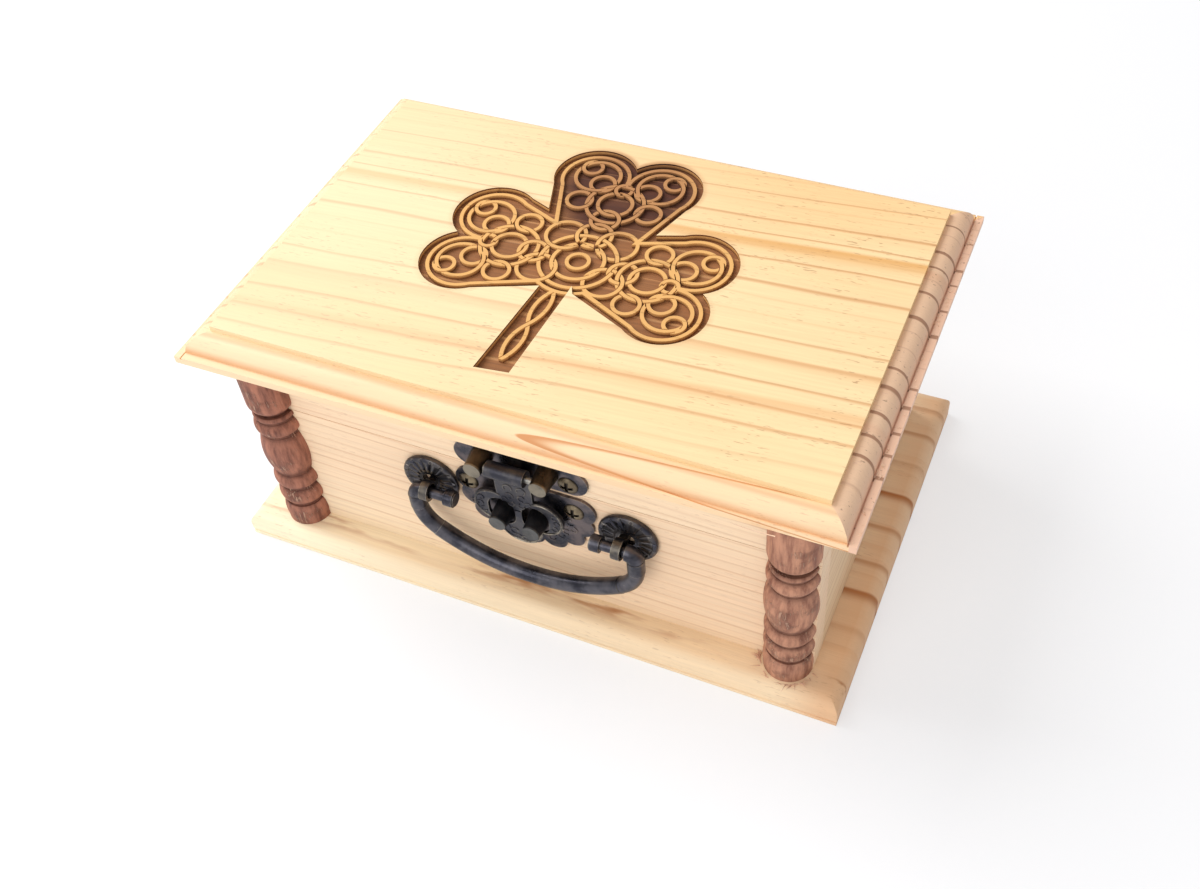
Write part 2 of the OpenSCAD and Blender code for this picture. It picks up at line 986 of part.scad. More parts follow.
// A bend of a rod in the bail's own plane, swept from angle from_a to angle to_a.
module bend(at, r, from_a, to_a, rod_r) {
    translate([at[0], 0, at[1]])
        rotate([90, 0, 0])
            rotate([0, 0, from_a])
                rotate_extrude(angle = to_a - from_a)
                    translate([r, 0])
                        circle(r = rod_r);
}

// One side of the bail: head, thin neck, shoulder, elbow, straight and corner.
module bail_side_part() {
    rod_x(bail_head_x + bail_head_l - eps, neck_end + eps, neck_d / 2);
    rod_x(bail_head_x + 0.3, bail_head_x + bail_head_l, bail_head_d / 2);
    rod_x(bail_head_x, bail_head_x + bail_head_l, bail_head_d / 2 - 0.35);
    bend([neck_end, -elbow_bend_r], elbow_bend_r, 0, 90, bend_rod_r);
    translate([bail_side, 0, -bail_straight - 0.4])
        cylinder(h = bail_straight - elbow_bend_r + 0.8, r = rod_d / 2);
    bend([bail_side - corner_r, -bail_straight], corner_r, corner_a - 2, 0.5, bend_rod_r);
}

module bail() {
    $fn = 40;
    color("DarkSlateGray")
        translate([pull_x + bail_play, pivot_y, pivot_z]) {
            bail_side_part();
            mirror([1, 0, 0])
                bail_side_part();
            bend([0, bow_y], bow_r, -180 - corner_a, corner_a, rod_d / 2);
        }
}

// Hinges

// A leaf with its screw holes; up is 1 for the lid's leaf and -1 for the box's.
module hinge_leaf(side, up) {
    leaf_gap = knuckle_r + move_clear;
    centre = [-knuckle_l / 2, knuckle_l];
    outer = [-hinge_l / 2, knuckle_l];
    spans = up == 1 ? [centre] : [outer, [knuckle_l / 2, knuckle_l]];
    translate([side * hinge_x, hinge_y, hinge_z])
        difference() {
            union() {
                translate([-hinge_l / 2, back_y - hinge_y, up == 1 ? 0 : -hinge_leaf_h])
                    cube([hinge_l, hinge_leaf_t, hinge_leaf_h]);
                for (span = spans)
                    rod_x(span[0], span[0] + span[1], knuckle_r);
            }
            for (span = up == 1 ? [outer, [knuckle_l / 2, knuckle_l]] : [centre])
                translate([span[0] - 0.15, -knuckle_r - move_clear - eps, -leaf_gap])
                    cube([span[1] + 0.3, 2 * leaf_gap + eps, 2 * leaf_gap]);
            rod_x(-hinge_l / 2 - eps, hinge_l / 2 + eps, hinge_pin_d / 2 + (up == 1 ? turn_clear : 0));
            both_sides(hinge_screw_x)
                translate([0, back_y - hinge_y, up * hinge_screw_z])
                    rotate([90, 0, 0])
                        cylinder(h = 4 * hinge_leaf_t, r = screw_r * 0.8, center = true);
        }
}

module left_hinge_box_leaf() {
    color("SaddleBrown")
        hinge_leaf(-1, -1);
}

module right_hinge_box_leaf() {
    color("SaddleBrown")
        hinge_leaf(1, -1);
}

module left_hinge_lid_leaf() {
    color("SaddleBrown")
        hinge_leaf(-1, 1);
}

module right_hinge_lid_leaf() {
    color("SaddleBrown")
        hinge_leaf(1, 1);
}

module hinge_pin(side) {
    translate([side * hinge_x, hinge_y, hinge_z])
        rod_x(-hinge_l / 2, hinge_l / 2, hinge_pin_d / 2);
}

module left_hinge_pin() {
    color("Silver")
        hinge_pin(-1);
}

module right_hinge_pin() {
    color("Silver")
        hinge_pin(1);
}

module hinge_screws(up) {
    at_hinge_screws(up)
        translate([0, -hinge_leaf_t, 0])
            screw(hinge_screw_head_r, 0.7, screw_r * 0.8, screw_l);
}

module hinge_box_screws() {
    color("Goldenrod")
        hinge_screws(-1);
}

module hinge_lid_screws() {
    color("Goldenrod")
        hinge_screws(1);
}

base_board();
front_wall();
back_wall();
left_wall();
right_wall();
left_column();
right_column();
keeper_plate();
keeper_studs();
keeper_screws();
left_rosette();
right_rosette();
left_eye();
right_eye();
left_hinge_box_leaf();
right_hinge_box_leaf();
left_hinge_pin();
right_hinge_pin();
hinge_box_screws();
lid_board();
front_skirt();
back_skirt();
left_skirt();
right_skirt();
left_column_cap();
right_column_cap();
latch_plate();
latch_posts();
latch_pin();
latch_screw();
left_hinge_lid_leaf();
right_hinge_lid_leaf();
hinge_lid_screws();
hasp();
bail();
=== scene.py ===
"""Looks of the shamrock keepsake box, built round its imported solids.

The box stands on a pale floor in soft studio light, seen as the photograph shows it. The bare
pine, the burnt carving, the turned columns and the blackened fittings get their finishes here.
The relief on the latch and the torn fibres, too fine for the solids, are modelled here.
"""

import logging
import math
import random
from dataclasses import dataclass, replace
from enum import Enum
from typing import Optional, Sequence

import bpy
from mathutils import Euler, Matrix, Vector

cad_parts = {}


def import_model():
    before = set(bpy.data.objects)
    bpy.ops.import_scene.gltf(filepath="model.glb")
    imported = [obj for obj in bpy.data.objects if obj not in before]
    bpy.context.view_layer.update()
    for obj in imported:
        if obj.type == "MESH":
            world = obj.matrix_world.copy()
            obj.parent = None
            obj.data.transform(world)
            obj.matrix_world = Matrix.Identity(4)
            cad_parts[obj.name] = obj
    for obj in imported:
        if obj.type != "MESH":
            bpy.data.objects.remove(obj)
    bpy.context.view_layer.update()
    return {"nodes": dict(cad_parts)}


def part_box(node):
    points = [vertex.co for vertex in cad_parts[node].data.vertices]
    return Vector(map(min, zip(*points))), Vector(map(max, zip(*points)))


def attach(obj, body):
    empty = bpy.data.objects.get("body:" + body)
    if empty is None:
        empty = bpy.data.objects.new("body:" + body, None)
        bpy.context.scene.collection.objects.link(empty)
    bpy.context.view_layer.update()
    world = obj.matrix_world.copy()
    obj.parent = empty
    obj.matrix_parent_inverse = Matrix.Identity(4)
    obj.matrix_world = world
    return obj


logging.basicConfig(level=logging.INFO, format="%(message)s")
LOG = logging.getLogger("keepsake_box")

Colour = tuple[float, float, float, float]
Socket = bpy.types.NodeSocket
SMOOTH_ANGLE = math.radians(50)
WELD_GAP = 0.000001
BEAD_CORNERS = 8
BEAD_STEP = 14.0


def srgb(red: float, green: float, blue: float) -> Colour:
    """Turns a screen colour into the linear colour that a shader takes.

    Args:
        red: Red, 0 to 255.
        green: Green, 0 to 255.
        blue: Blue, 0 to 255.

    Returns:
        The linear colour with full alpha.
    """

    def channel(value: float) -> float:
        """One channel from screen to linear."""
        share = value / 255
        return share / 12.92 if share <= 0.04045 else ((share + 0.055) / 1.055) ** 2.4

    return (channel(red), channel(green), channel(blue), 1.0)


class Bench:
    """A work bench for one node tree: it adds nodes and links their sockets."""

    def __init__(self, tree: bpy.types.NodeTree) -> None:
        """Keeps the tree that nodes are added to."""
        self.tree = tree

    def set(self, socket: Socket, value: object) -> None:
        """Links a socket to another one, or gives it a value.

        Args:
            socket: The input to fill.
            value: A socket to link from, a number, a colour or a vector.
        """
        if isinstance(value, bpy.types.NodeSocket):
            self.tree.links.new(value, socket)
        elif value is not None:
            socket.default_value = value

    def node(self, kind: str, inputs: Optional[dict[object, object]] = None, **props: object) -> bpy.types.Node:
        """Adds a node with its properties and inputs.

        Args:
            kind: The node's type without the leading ShaderNode.
            inputs: Input names or numbers, each with a value or a socket to link from.
            props: Properties to set before the inputs.

        Returns:
            The new node.
        """
        made = self.tree.nodes.new("ShaderNode" + kind)
        for name, value in props.items():
            setattr(made, name, value)
        for name, value in (inputs or {}).items():
            self.set(made.inputs[name], value)
        return made

    def math(self, operation: str, *values: object, clamp: bool = False) -> Socket:
        """Adds a Math node.

        Args:
            operation: The operation's name.
            values: Its inputs in order.
            clamp: Whether the result is kept between 0 and 1.

        Returns:
            The result.
        """
        made = self.node("Math", operation=operation, use_clamp=clamp)
        for socket, value in zip(made.inputs, values):
            self.set(socket, value)
        return made.outputs[0]

    def times(self, first: object, second: object, clamp: bool = False) -> Socket:
        """Multiplies two values."""
        return self.math("MULTIPLY", first, second, clamp=clamp)

    def plus(self, first: object, second: object, clamp: bool = False) -> Socket:
        """Adds two values."""
        return self.math("ADD", first, second, clamp=clamp)

    def minus(self, first: object, second: object) -> Socket:
        """Takes the second value from the first."""
        return self.math("SUBTRACT", first, second)

    def length(self, first: Socket, second: Socket) -> Socket:
        """Gives the length of a flat vector from its two sides."""
        return self.math("SQRT", self.plus(self.math("POWER", first, 2.0), self.math("POWER", second, 2.0)))

    def distance(self, flat: Socket, spot: Sequence[float]) -> Socket:
        """Gives the distance in metres of a flat place from a fixed X and Y."""
        middle = (spot[0], spot[1], 0.0)
        return self.node("VectorMath", {0: flat, 1: middle}, operation="DISTANCE").outputs["Value"]

    def grey(self, value: Socket) -> Socket:
        """Makes a grey from one value."""
        return self.node("CombineColor", {0: value, 1: value, 2: value}).outputs[0]

    def span(self, value: object, low: float, high: float, start: float = 0.0, end: float = 1.0) -> Socket:
        """Maps a value smoothly from one span to another.

        Args:
            value: The value to map.
            low: Where the ramp starts.
            high: Where the ramp ends.
            start: The result at and below low.
            end: The result at and above high.

        Returns:
            The mapped value.
        """
        made = self.node("MapRange", interpolation_type="SMOOTHSTEP")
        for socket, item in zip(made.inputs, (value, low, high, start, end)):
            self.set(socket, item)
        return made.outputs[0]

    def mix(self, share: object, first: object, second: object, blend: str = "MIX") -> Socket:
        """Mixes two colours.

        Args:
            share: How much of the second colour there is.
            first: The first colour.
            second: The second colour.
            blend: The blend mode.

        Returns:
            The mixed colour.
        """
        made = self.node("Mix", data_type="RGBA", blend_type=blend)
        for place, item in ((0, share), (6, first), (7, second)):
            self.set(made.inputs[place], item)
        return made.outputs[2]

    def noise(self, vector: Socket, scale: float, detail: float = 2.0, rough: float = 0.5) -> Socket:
        """Adds a noise texture and gives its value.

        Args:
            vector: Where the noise is read.
            scale: How fine it is.
            detail: How many layers it has.
            rough: How strong the fine layers are.

        Returns:
            The noise, about 0.3 to 0.7 with a middle of 0.5.
        """
        made = self.node("TexNoise", {"Vector": vector, "Scale": scale, "Detail": detail, "Roughness": rough})
        return made.outputs["Fac"]

    def stretched(self, vector: Socket, factors: Sequence[float], seed: object = 0.0) -> Socket:
        """Scales a vector axis by axis, so that a noise read there is drawn out.

        Args:
            vector: The vector to scale.
            factors: The scale along X, Y and Z.
            seed: A value added to every axis.

        Returns:
            The scaled vector.
        """
        scaled = self.node("VectorMath", {0: vector, 1: tuple(factors)}, operation="MULTIPLY").outputs[0]
        shift = self.node("CombineXYZ", {0: seed, 1: seed, 2: seed}).outputs[0]
        return self.node("VectorMath", {0: scaled, 1: shift}, operation="ADD").outputs[0]


class EffectGroup:
    """A shader node group that several finishes share, built once."""

    name = "effect"
    takes: tuple[tuple[str, str, object], ...] = ()
    gives: tuple[str, ...] = ()

    def tree(self) -> bpy.types.NodeTree:
        """Gives the group, and builds it the first time.

        Returns:
            The node group.
        """
        known = bpy.data.node_groups.get(self.name)
        if known:
            return known
        tree = bpy.data.node_groups.new(self.name, "ShaderNodeTree")
        for label, kind, value in self.takes:
            made = tree.interface.new_socket(name=label, in_out="INPUT", socket_type="NodeSocket" + kind)
            if value is not None:
                made.default_value = value
        for label in self.gives:
            tree.interface.new_socket(name=label, in_out="OUTPUT", socket_type="NodeSocketFloat")
        bench = Bench(tree)
        source = tree.nodes.new("NodeGroupInput")
        target = tree.nodes.new("NodeGroupOutput")
        made = self.effect(bench, {item.name: item for item in source.outputs if item.name})
        for label, value in made.items():
            tree.links.new(value, target.inputs[label])
        return tree

    def effect(self, bench: Bench, given: dict[str, Socket]) -> dict[str, Socket]:
        """Builds the effect's nodes.

        Args:
            bench: The bench of the group's tree.
            given: The group's inputs by name.

        Returns:
            The sockets that feed the group's outputs.
        """
        raise NotImplementedError

    def placed(self, bench: Bench, values: dict[str, object]) -> dict[str, Socket]:
        """Places the group in a material.

        Args:
            bench: The bench of the material's tree.
            values: The material's own values for the group's inputs.

        Returns:
            The group's outputs by name.
        """
        made = bench.node("Group", node_tree=self.tree())
        for label, value in values.items():
            bench.set(made.inputs[label], value)
        return {item.name: item for item in made.outputs}


class PineRings(EffectGroup):
    """Growth rings, fibres and resin flecks of sawn pine, with the grain along X."""

    name = "pine rings"
    takes = (
        ("Vector", "Vector", None),
        ("Pith Y", "Float", -0.07),
        ("Pith Z", "Float", 0.0),
        ("Spacing", "Float", 0.004),
        ("Tighten", "Float", 0.0),
        ("Sharp", "Float", 0.3),
        ("Warp", "Float", 0.003),
        ("Seed", "Float", 0.0),
    )
    gives = ("Late", "Fibre", "Flecks", "Tone", "Height")

    def effect(self, bench: Bench, given: dict[str, Socket]) -> dict[str, Socket]:
        """Builds the ring, fibre and fleck masks from the distance to the pith.

        Args:
            bench: The bench of the group's tree.
            given: The group's inputs by name.

        Returns:
            The masks by name.
        """
        spot = given["Vector"]
        seed = given["Seed"]
        parts = bench.node("SeparateXYZ", {0: spot})
        wander = bench.noise(bench.stretched(spot, (7, 20, 20), seed), 1.0, 2.0)
        ripple = bench.noise(bench.stretched(spot, (28, 90, 90), seed), 1.0, 2.0)
        side = bench.minus(parts.outputs[1], given["Pith Y"])
        rise = bench.minus(parts.outputs[2], given["Pith Z"])
        reach = bench.length(side, rise)
        drift = bench.times(bench.minus(wander, 0.5), bench.times(given["Warp"], 3.0))
        quiver = bench.times(bench.minus(ripple, 0.5), bench.times(given["Warp"], 0.6))
        radius = bench.plus(bench.plus(reach, drift), quiver)
        near = bench.math("DIVIDE", radius, given["Spacing"])
        far = bench.times(bench.math("POWER", radius, 2.0), given["Tighten"])
        years = bench.plus(near, far)
        uneven = bench.noise(bench.node("CombineXYZ", {0: years, 1: seed}).outputs[0], 0.45, 1.0)
        phase = bench.plus(years, bench.times(uneven, 1.6))
        within = bench.math("FRACT", phase)
        ring = bench.math("FLOOR", phase)
        rising = bench.math("POWER", bench.span(within, given["Sharp"], 0.92), 1.8)
        falling = bench.span(within, 0.92, 1.0, 1.0, 0.0)
        lot = bench.node("TexWhiteNoise", {"W": bench.plus(ring, seed)}, noise_dimensions="1D").outputs["Value"]
        late = bench.times(bench.times(rising, falling), bench.span(lot, 0.0, 1.0, 0.25, 1.0))
        fibre = bench.noise(bench.stretched(spot, (45, 1500, 1500), seed), 1.0, 3.0, 0.6)
        specks = bench.noise(bench.stretched(spot, (420, 2400, 2400), seed), 1.0, 1.0)
        patches = bench.noise(bench.stretched(spot, (40, 60, 60), seed), 1.0, 1.0)
        flecks = bench.times(bench.span(specks, 0.64, 0.72), bench.span(patches, 0.42, 0.62))
        tone = bench.noise(bench.stretched(spot, (5, 24, 24), seed), 1.0, 2.0)
        height = bench.plus(bench.times(late, 0.5), bench.times(fibre, 0.5))
        return {"Late": late, "Fibre": fibre, "Flecks": flecks, "Tone": tone, "Height": height}


class TurnedFibres(EffectGroup):
    """Streaks, grooves and torn fibres of small turned columns, with the grain along Z."""

    name = "turned fibres"
    takes = (("Vector", "Vector", None), ("Seed", "Float", 0.0))
    gives = ("Streaks", "Blotches", "Torn", "Height")

    def effect(self, bench: Bench, given: dict[str, Socket]) -> dict[str, Socket]:
        """Builds the streak, blotch and torn-fibre masks.

        Args:
            bench: The bench of the group's tree.
            given: The group's inputs by name.

        Returns:
            The masks by name.
        """
        spot = given["Vector"]
        seed = given["Seed"]
        streaks = bench.noise(bench.stretched(spot, (700, 700, 110), seed), 1.0, 4.0, 0.6)
        blotches = bench.noise(bench.stretched(spot, (150, 150, 220), seed), 1.0, 3.0, 0.55)
        fine = bench.noise(bench.stretched(spot, (2600, 2600, 260), seed), 1.0, 2.0)
        torn = bench.span(bench.times(fine, blotches), 0.33, 0.42)
        tooling = bench.times(bench.noise(bench.stretched(spot, (60, 60, 2300), seed), 1.0, 1.0), 0.35)
        height = bench.plus(bench.plus(bench.times(streaks, 0.5), tooling), torn)
        return {"Streaks": streaks, "Blotches": blotches, "Torn": torn, "Height": height}


class Patina(EffectGroup):
    """Rubbed and mottled patches of an antique metal finish."""

    name = "patina"
    takes = (("Vector", "Vector", None), ("Scale", "Float", 420.0), ("Wear", "Float", 0.4))
    gives = ("Rubbed", "Mottle", "Height")

    def effect(self, bench: Bench, given: dict[str, Socket]) -> dict[str, Socket]:
        """Builds the rubbed and mottled masks.

        Args:
            bench: The bench of the group's tree.
            given: The group's inputs by name.

        Returns:
            The masks by name.
        """
        sized = {0: given["Vector"], "Scale": given["Scale"]}
        scaled = bench.node("VectorMath", sized, operation="SCALE").outputs[0]
        clouds = bench.noise(scaled, 0.55, 3.0, 0.6)
        grit = bench.noise(scaled, 5.0, 3.0, 0.7)
        worn = bench.plus(clouds, bench.times(bench.minus(grit, 0.5), 0.6))
        limit = bench.minus(0.86, bench.times(given["Wear"], 0.5))
        rubbed = bench.times(bench.minus(worn, limit), 6.0, clamp=True)
        height = bench.plus(bench.times(grit, 0.6), bench.times(clouds, 0.4))
        return {"Rubbed": rubbed, "Mottle": clouds, "Height": height}


PINE_RINGS = PineRings()
TURNED_FIBRES = TurnedFibres()
PATINA = Patina()


class Grain(Enum):
    """Which way a board's grain runs."""

    ALONG_X = 0.0
    ALONG_Y = 90.0


@dataclass(frozen=True)
class Surface:
    """What a finish has to say to the Principled shader."""

    colour: Socket
    roughness: object
    height: Socket
    depth: float
    metallic: object = 0.0
    gloss: float = 0.5


@dataclass(frozen=True)
class Finish:
    """A named finish that makes one procedural material."""

    name: str

    def material(self) -> bpy.types.Material:
        """Makes the material, or gives it if it is made already.

        Returns:
            The material.
        """
        known = bpy.data.materials.get(self.name)
        if known:
            return known
        made = bpy.data.materials.new(self.name)
        made.use_nodes = True
        made.node_tree.nodes.clear()
        bench = Bench(made.node_tree)
        place = bench.node("TexCoord").outputs["Object"]
        surface = self.surface(bench, place)
        bump = bench.node("Bump", {"Strength": 1.0, "Distance": surface.depth, "Height": surface.height})
        shader = bench.node(
            "BsdfPrincipled",
            {
                "Base Color": surface.colour,
                "Roughness": surface.roughness,
                "Metallic": surface.metallic,
                "Specular IOR Level": surface.gloss,
                "Normal": bump.outputs["Normal"],
            },
        )
        bench.node("OutputMaterial", {"Surface": shader.outputs[0]})
        made.diffuse_color = (0.5, 0.4, 0.3, 1.0)
        return made

    def surface(self, bench: Bench, place: Socket) -> Surface:
        """Builds the finish's colour, roughness and relief.

        Args:
            bench: The bench of the material's tree.
            place: Object coordinates in metres.

        Returns:
            What the shader takes.
        """
        raise NotImplementedError


@dataclass(frozen=True)
class Streak:
    """One dark year along the grain: it darkens towards the back and ends sharply there."""

    at: float
    width: float
    share: float
    colour: Colour = srgb(182, 116, 66)
    end: float = 0.0006
    broken: float = 0.0

    def mask(self, bench: Bench, spot: Socket, drift: Socket) -> Socket:
        """Builds the streak's mask.

        Args:
            bench: The bench of the material's tree.
            spot: The place, turned so that the grain runs along X.
            drift: A noise that bends the streak a little.

        Returns:
            How much of the streak's colour there is.
        """
        side = bench.node("SeparateXYZ", {0: spot}).outputs[1]
        bend = bench.times(bench.minus(drift, 0.5), self.width * 1.2)
        reach = bench.minus(bench.plus(side, bend), self.at)
        rise = bench.math("POWER", bench.span(reach, -self.width, 0.0), 1.5)
        whole = bench.times(rise, bench.span(reach, 0.0, self.end, self.share, 0.0))
        if not self.broken:
            return whole
        patches = bench.noise(bench.stretched(spot, (self.broken, 220, 220), 4.0), 1.0, 3.0, 0.6)
        return bench.times(whole, bench.span(patches, 0.44, 0.6))


@dataclass(frozen=True)
class PineFinish(Finish):
    """Bare sawn and sanded pine."""

    grain: Grain = Grain.ALONG_X
    slant: float = 0.0
    pith: tuple[float, float] = (-0.07, 0.01)
    spacing: float = 0.004
    tighten: float = 0.0
    sharp: float = 0.3
    warp: float = 0.003
    seed: float = 0.0
    pale: Colour = srgb(251, 228, 184)
    deep: Colour = srgb(222, 168, 108)
    flush: Colour = srgb(250, 214, 168)
    late_share: float = 0.75
    streaks: tuple[Streak, ...] = ()
    shaded_from_x: float = 1.0
    pores: float = 0.22
    fleck: Colour = srgb(150, 96, 60)
    shade_tone: Colour = srgb(226, 166, 116)
    shade_ramp: float = 0.014
    shade_share: float = 0.6

    def wood(self, bench: Bench, place: Socket) -> tuple[Socket, dict[str, Socket]]:
        """Builds the bare wood.

        Args:
            bench: The bench of the material's tree.
            place: Object coordinates in metres.

        Returns:
            The wood's colour, and the masks of its rings.
        """
        turn = math.radians(self.grain.value + self.slant)
        turned = {"Vector": place, "Rotation": (0.0, 0.0, turn)}
        spot = bench.node("Mapping", turned, vector_type="TEXTURE").outputs[0]
        rings = PINE_RINGS.placed(
            bench,
            {
                "Vector": spot,
                "Pith Y": self.pith[0],
                "Pith Z": self.pith[1],
                "Spacing": self.spacing,
                "Tighten": self.tighten,
                "Sharp": self.sharp,
                "Warp": self.warp,
                "Seed": self.seed,
            },
        )
        ground = bench.mix(bench.span(rings["Tone"], 0.35, 0.68), self.pale, self.flush)
        colour = bench.mix(bench.times(rings["Late"], self.late_share), ground, self.deep)
        shade = bench.span(rings["Fibre"], 0.3, 0.7, 0.955, 1.03)
        colour = bench.mix(1.0, colour, bench.grey(shade), "MULTIPLY")
        # Painted shade: towards the board's right end, the side the lamps leave in shade, the wood is mixed
        # towards a darker orange-brown.
        if self.shaded_from_x < 1.0:
            right = bench.node("SeparateXYZ", {0: place}).outputs[0]
            share = bench.span(right, self.shaded_from_x, self.shaded_from_x + self.shade_ramp, 0.0, self.shade_share)
            colour = bench.mix(share, colour, self.shade_tone)
        for streak in self.streaks:
            colour = bench.mix(streak.mask(bench, spot, rings["Tone"]), colour, streak.colour)
        colour = bench.mix(bench.times(rings["Flecks"], self.pores), colour, self.fleck)
        return colour, rings

    def surface(self, bench: Bench, place: Socket) -> Surface:
        """Builds plain pine.

        Args:
            bench: The bench of the material's tree.
            place: Object coordinates in metres.

        Returns:
            What the shader takes.
        """
        colour, rings = self.wood(bench, place)
        rough = bench.span(rings["Fibre"], 0.3, 0.7, 0.5, 0.66)
        return Surface(colour, rough, rings["Height"], 0.00012, gloss=0.35)


@dataclass(frozen=True)
class CarvedLidFinish(PineFinish):
    """The lid's pine, browned where the shamrock is burnt into it."""

    top_z: float = 0.0729
    floor_z: float = 0.0713
    band_z: float = 0.0724
    window: tuple[float, float] = (0.0715, 0.0452)
    lobes: tuple[tuple[float, float], ...] = (
        (-0.0113, 0.0319),
        (0.0059, 0.0319),
        (-0.0285, 0.0106),
        (-0.0285, -0.0066),
        (0.0235, 0.0092),
        (0.0226, -0.0079),
    )
    lobe_r: float = 0.0104
    dark_spot: tuple[float, float] = (-0.0015, 0.0300)
    panel_x: float = 0.07305
    panel_y: float = 0.04635
    loop_x: float = 0.0070
    loop_down: float = 0.5
    loop_long: float = 0.13
    left_light_share: float = 0.42
    floor_tones: tuple[Colour, Colour] = (srgb(156, 104, 64), srgb(88, 50, 36))
    ridge_tones: tuple[Colour, Colour] = (srgb(190, 138, 90), srgb(122, 78, 54))
    band_tones: tuple[Colour, Colour] = (srgb(232, 178, 108), srgb(186, 132, 84))
    wall_tones: tuple[Colour, Colour] = (srgb(118, 68, 36), srgb(60, 32, 24))

    def end_moulding(
        self, bench: Bench, colour: Socket, place: Socket, axes: bpy.types.Node, late: Socket
    ) -> Socket:
        """Darkens the end grain on the mouldings at both ends, up to the mitres.

        Args:
            bench: The bench of the material's tree.
            colour: The wood's colour so far.
            place: Object coordinates in metres.
            axes: The node that gives X, Y and Z.
            late: The mask of the rings' dark wood.

        Returns:
            The colour with the end grain.
        """
        out_x = bench.minus(bench.math("ABSOLUTE", axes.outputs[0]), self.panel_x)
        out_y = bench.minus(bench.math("ABSOLUTE", axes.outputs[1]), self.panel_y)
        ends = bench.math("GREATER_THAN", out_x, bench.math("MAXIMUM", out_y, 0.0))
        low = bench.span(axes.outputs[2], self.top_z - 0.0062, self.top_z - 0.0018, 0.95, 0.7)
        grain = bench.mix(low, colour, srgb(240, 196, 168))
        line = bench.times(bench.span(late, 0.12, 0.5), 0.75)
        grain = bench.mix(line, grain, srgb(150, 102, 74))
        pores = bench.noise(bench.stretched(place, (900, 1400, 1400)), 1.0, 2.0)
        grain = bench.mix(bench.span(pores, 0.66, 0.74, 0.0, 0.5), grain, srgb(130, 88, 66))
        side = bench.span(axes.outputs[0], -0.02, 0.02, 0.3, 1.0)
        return bench.mix(bench.times(ends, side), colour, grain)

    def front_moulding(self, bench: Bench, colour: Socket, axes: bpy.types.Node, tone: Socket) -> Socket:
        """Lays a pointed loop of flat-sawn figure over the front moulding, a brown line lower on it, and
        painted shade along its top, under the step.

        Args:
            bench: The bench of the material's tree.
            colour: The wood's colour so far.
            axes: The node that gives X, Y and Z.
            tone: The slow noise that bends the figure.

        Returns:
            The colour with the figure.
        """
        across, along, height = axes.outputs
        out_x = bench.minus(bench.math("ABSOLUTE", across), self.panel_x)
        out_y = bench.minus(bench.times(along, -1.0), self.panel_y)
        front = bench.math("GREATER_THAN", out_y, bench.math("MAXIMUM", out_x, 0.0))
        down = bench.times(bench.minus(0.0242, bench.plus(along, height)), 125.0)
        drift = bench.minus(tone, 0.5)
        down = bench.plus(down, bench.times(drift, 0.5))
        grain = bench.mix(0.5, colour, srgb(252, 214, 178))
        loop = bench.math("POWER", bench.minus(down, self.loop_down), 2.0)
        loop = bench.minus(bench.times(loop, self.loop_long), bench.minus(across, self.loop_x))
        outer = bench.span(loop, 0.0, 0.0012, 1.0, 0.0)
        inner = bench.span(loop, -0.011, -0.0020)
        grain = bench.mix(bench.times(bench.times(outer, inner), 0.85), grain, srgb(208, 134, 74))
        line = bench.times(bench.span(down, 0.62, 0.92), bench.span(down, 0.94, 1.06, 1.0, 0.0))
        grain = bench.mix(bench.times(line, 0.5), grain, srgb(220, 150, 92))
        # Painted shade: a brown line along the top of the moulding, under the step.
        edge = bench.times(bench.span(down, -0.12, 0.02), bench.span(down, 0.04, 0.2, 1.0, 0.0))
        grain = bench.mix(bench.times(edge, 0.35), grain, srgb(196, 134, 84))
        return bench.mix(front, colour, grain)

    def surface(self, bench: Bench, place: Socket) -> Surface:
        """Builds pine with the burnt carving.

        Args:
            bench: The bench of the material's tree.
            place: Object coordinates in metres.

        Returns:
            What the shader takes.
        """
        colour, rings = self.wood(bench, place)
        axes = bench.node("SeparateXYZ", {0: place})
        across, along, height = axes.outputs
        flat = bench.node("CombineXYZ", {0: across, 1: along}).outputs[0]
        in_x = bench.math("LESS_THAN", bench.math("ABSOLUTE", across), self.window[0])
        in_y = bench.math("LESS_THAN", bench.math("ABSOLUTE", along), self.window[1])
        below = bench.math("LESS_THAN", height, self.top_z - 0.00004)
        above = bench.math("GREATER_THAN", height, self.floor_z - 0.0006)
        cut = bench.times(bench.times(in_x, in_y), bench.times(below, above))
        dark = bench.span(bench.distance(flat, self.dark_spot), 0.012, 0.021, 1.0, 0.0)
        patch = bench.noise(bench.stretched(place, (60, 160, 160)), 1.0, 3.0, 0.6)
        dark = bench.plus(dark, bench.span(patch, 0.35, 0.7, -0.14, 0.14), clamp=True)
        floor = bench.mix(dark, *self.floor_tones)
        ridge = bench.mix(dark, *self.ridge_tones)
        floor = bench.mix(bench.span(rings["Late"], 0.05, 0.45), floor, ridge)
        soot = bench.span(rings["Fibre"], 0.3, 0.7, 0.82, 1.1)
        floor = bench.mix(1.0, floor, bench.grey(soot), "MULTIPLY")
        band = bench.mix(dark, *self.band_tones)
        wall = bench.mix(dark, *self.wall_tones)
        on_band = bench.math("GREATER_THAN", height, self.band_z - 0.00012)
        on_floor = bench.math("LESS_THAN", height, self.floor_z + 0.00008)
        sides = bench.mix(bench.span(height, self.floor_z, self.band_z), wall, band)
        burnt = bench.mix(on_floor, sides, floor)
        rim = bench.math("GREATER_THAN", height, self.band_z + 0.00008)
        burnt = bench.mix(bench.times(on_band, bench.minus(1.0, rim)), burnt, band)
        burnt = bench.mix(rim, burnt, wall)
        gap: Socket = bench.distance(flat, self.lobes[0])
        for lobe in self.lobes[1:]:
            gap = bench.math("MINIMUM", gap, bench.distance(flat, lobe))
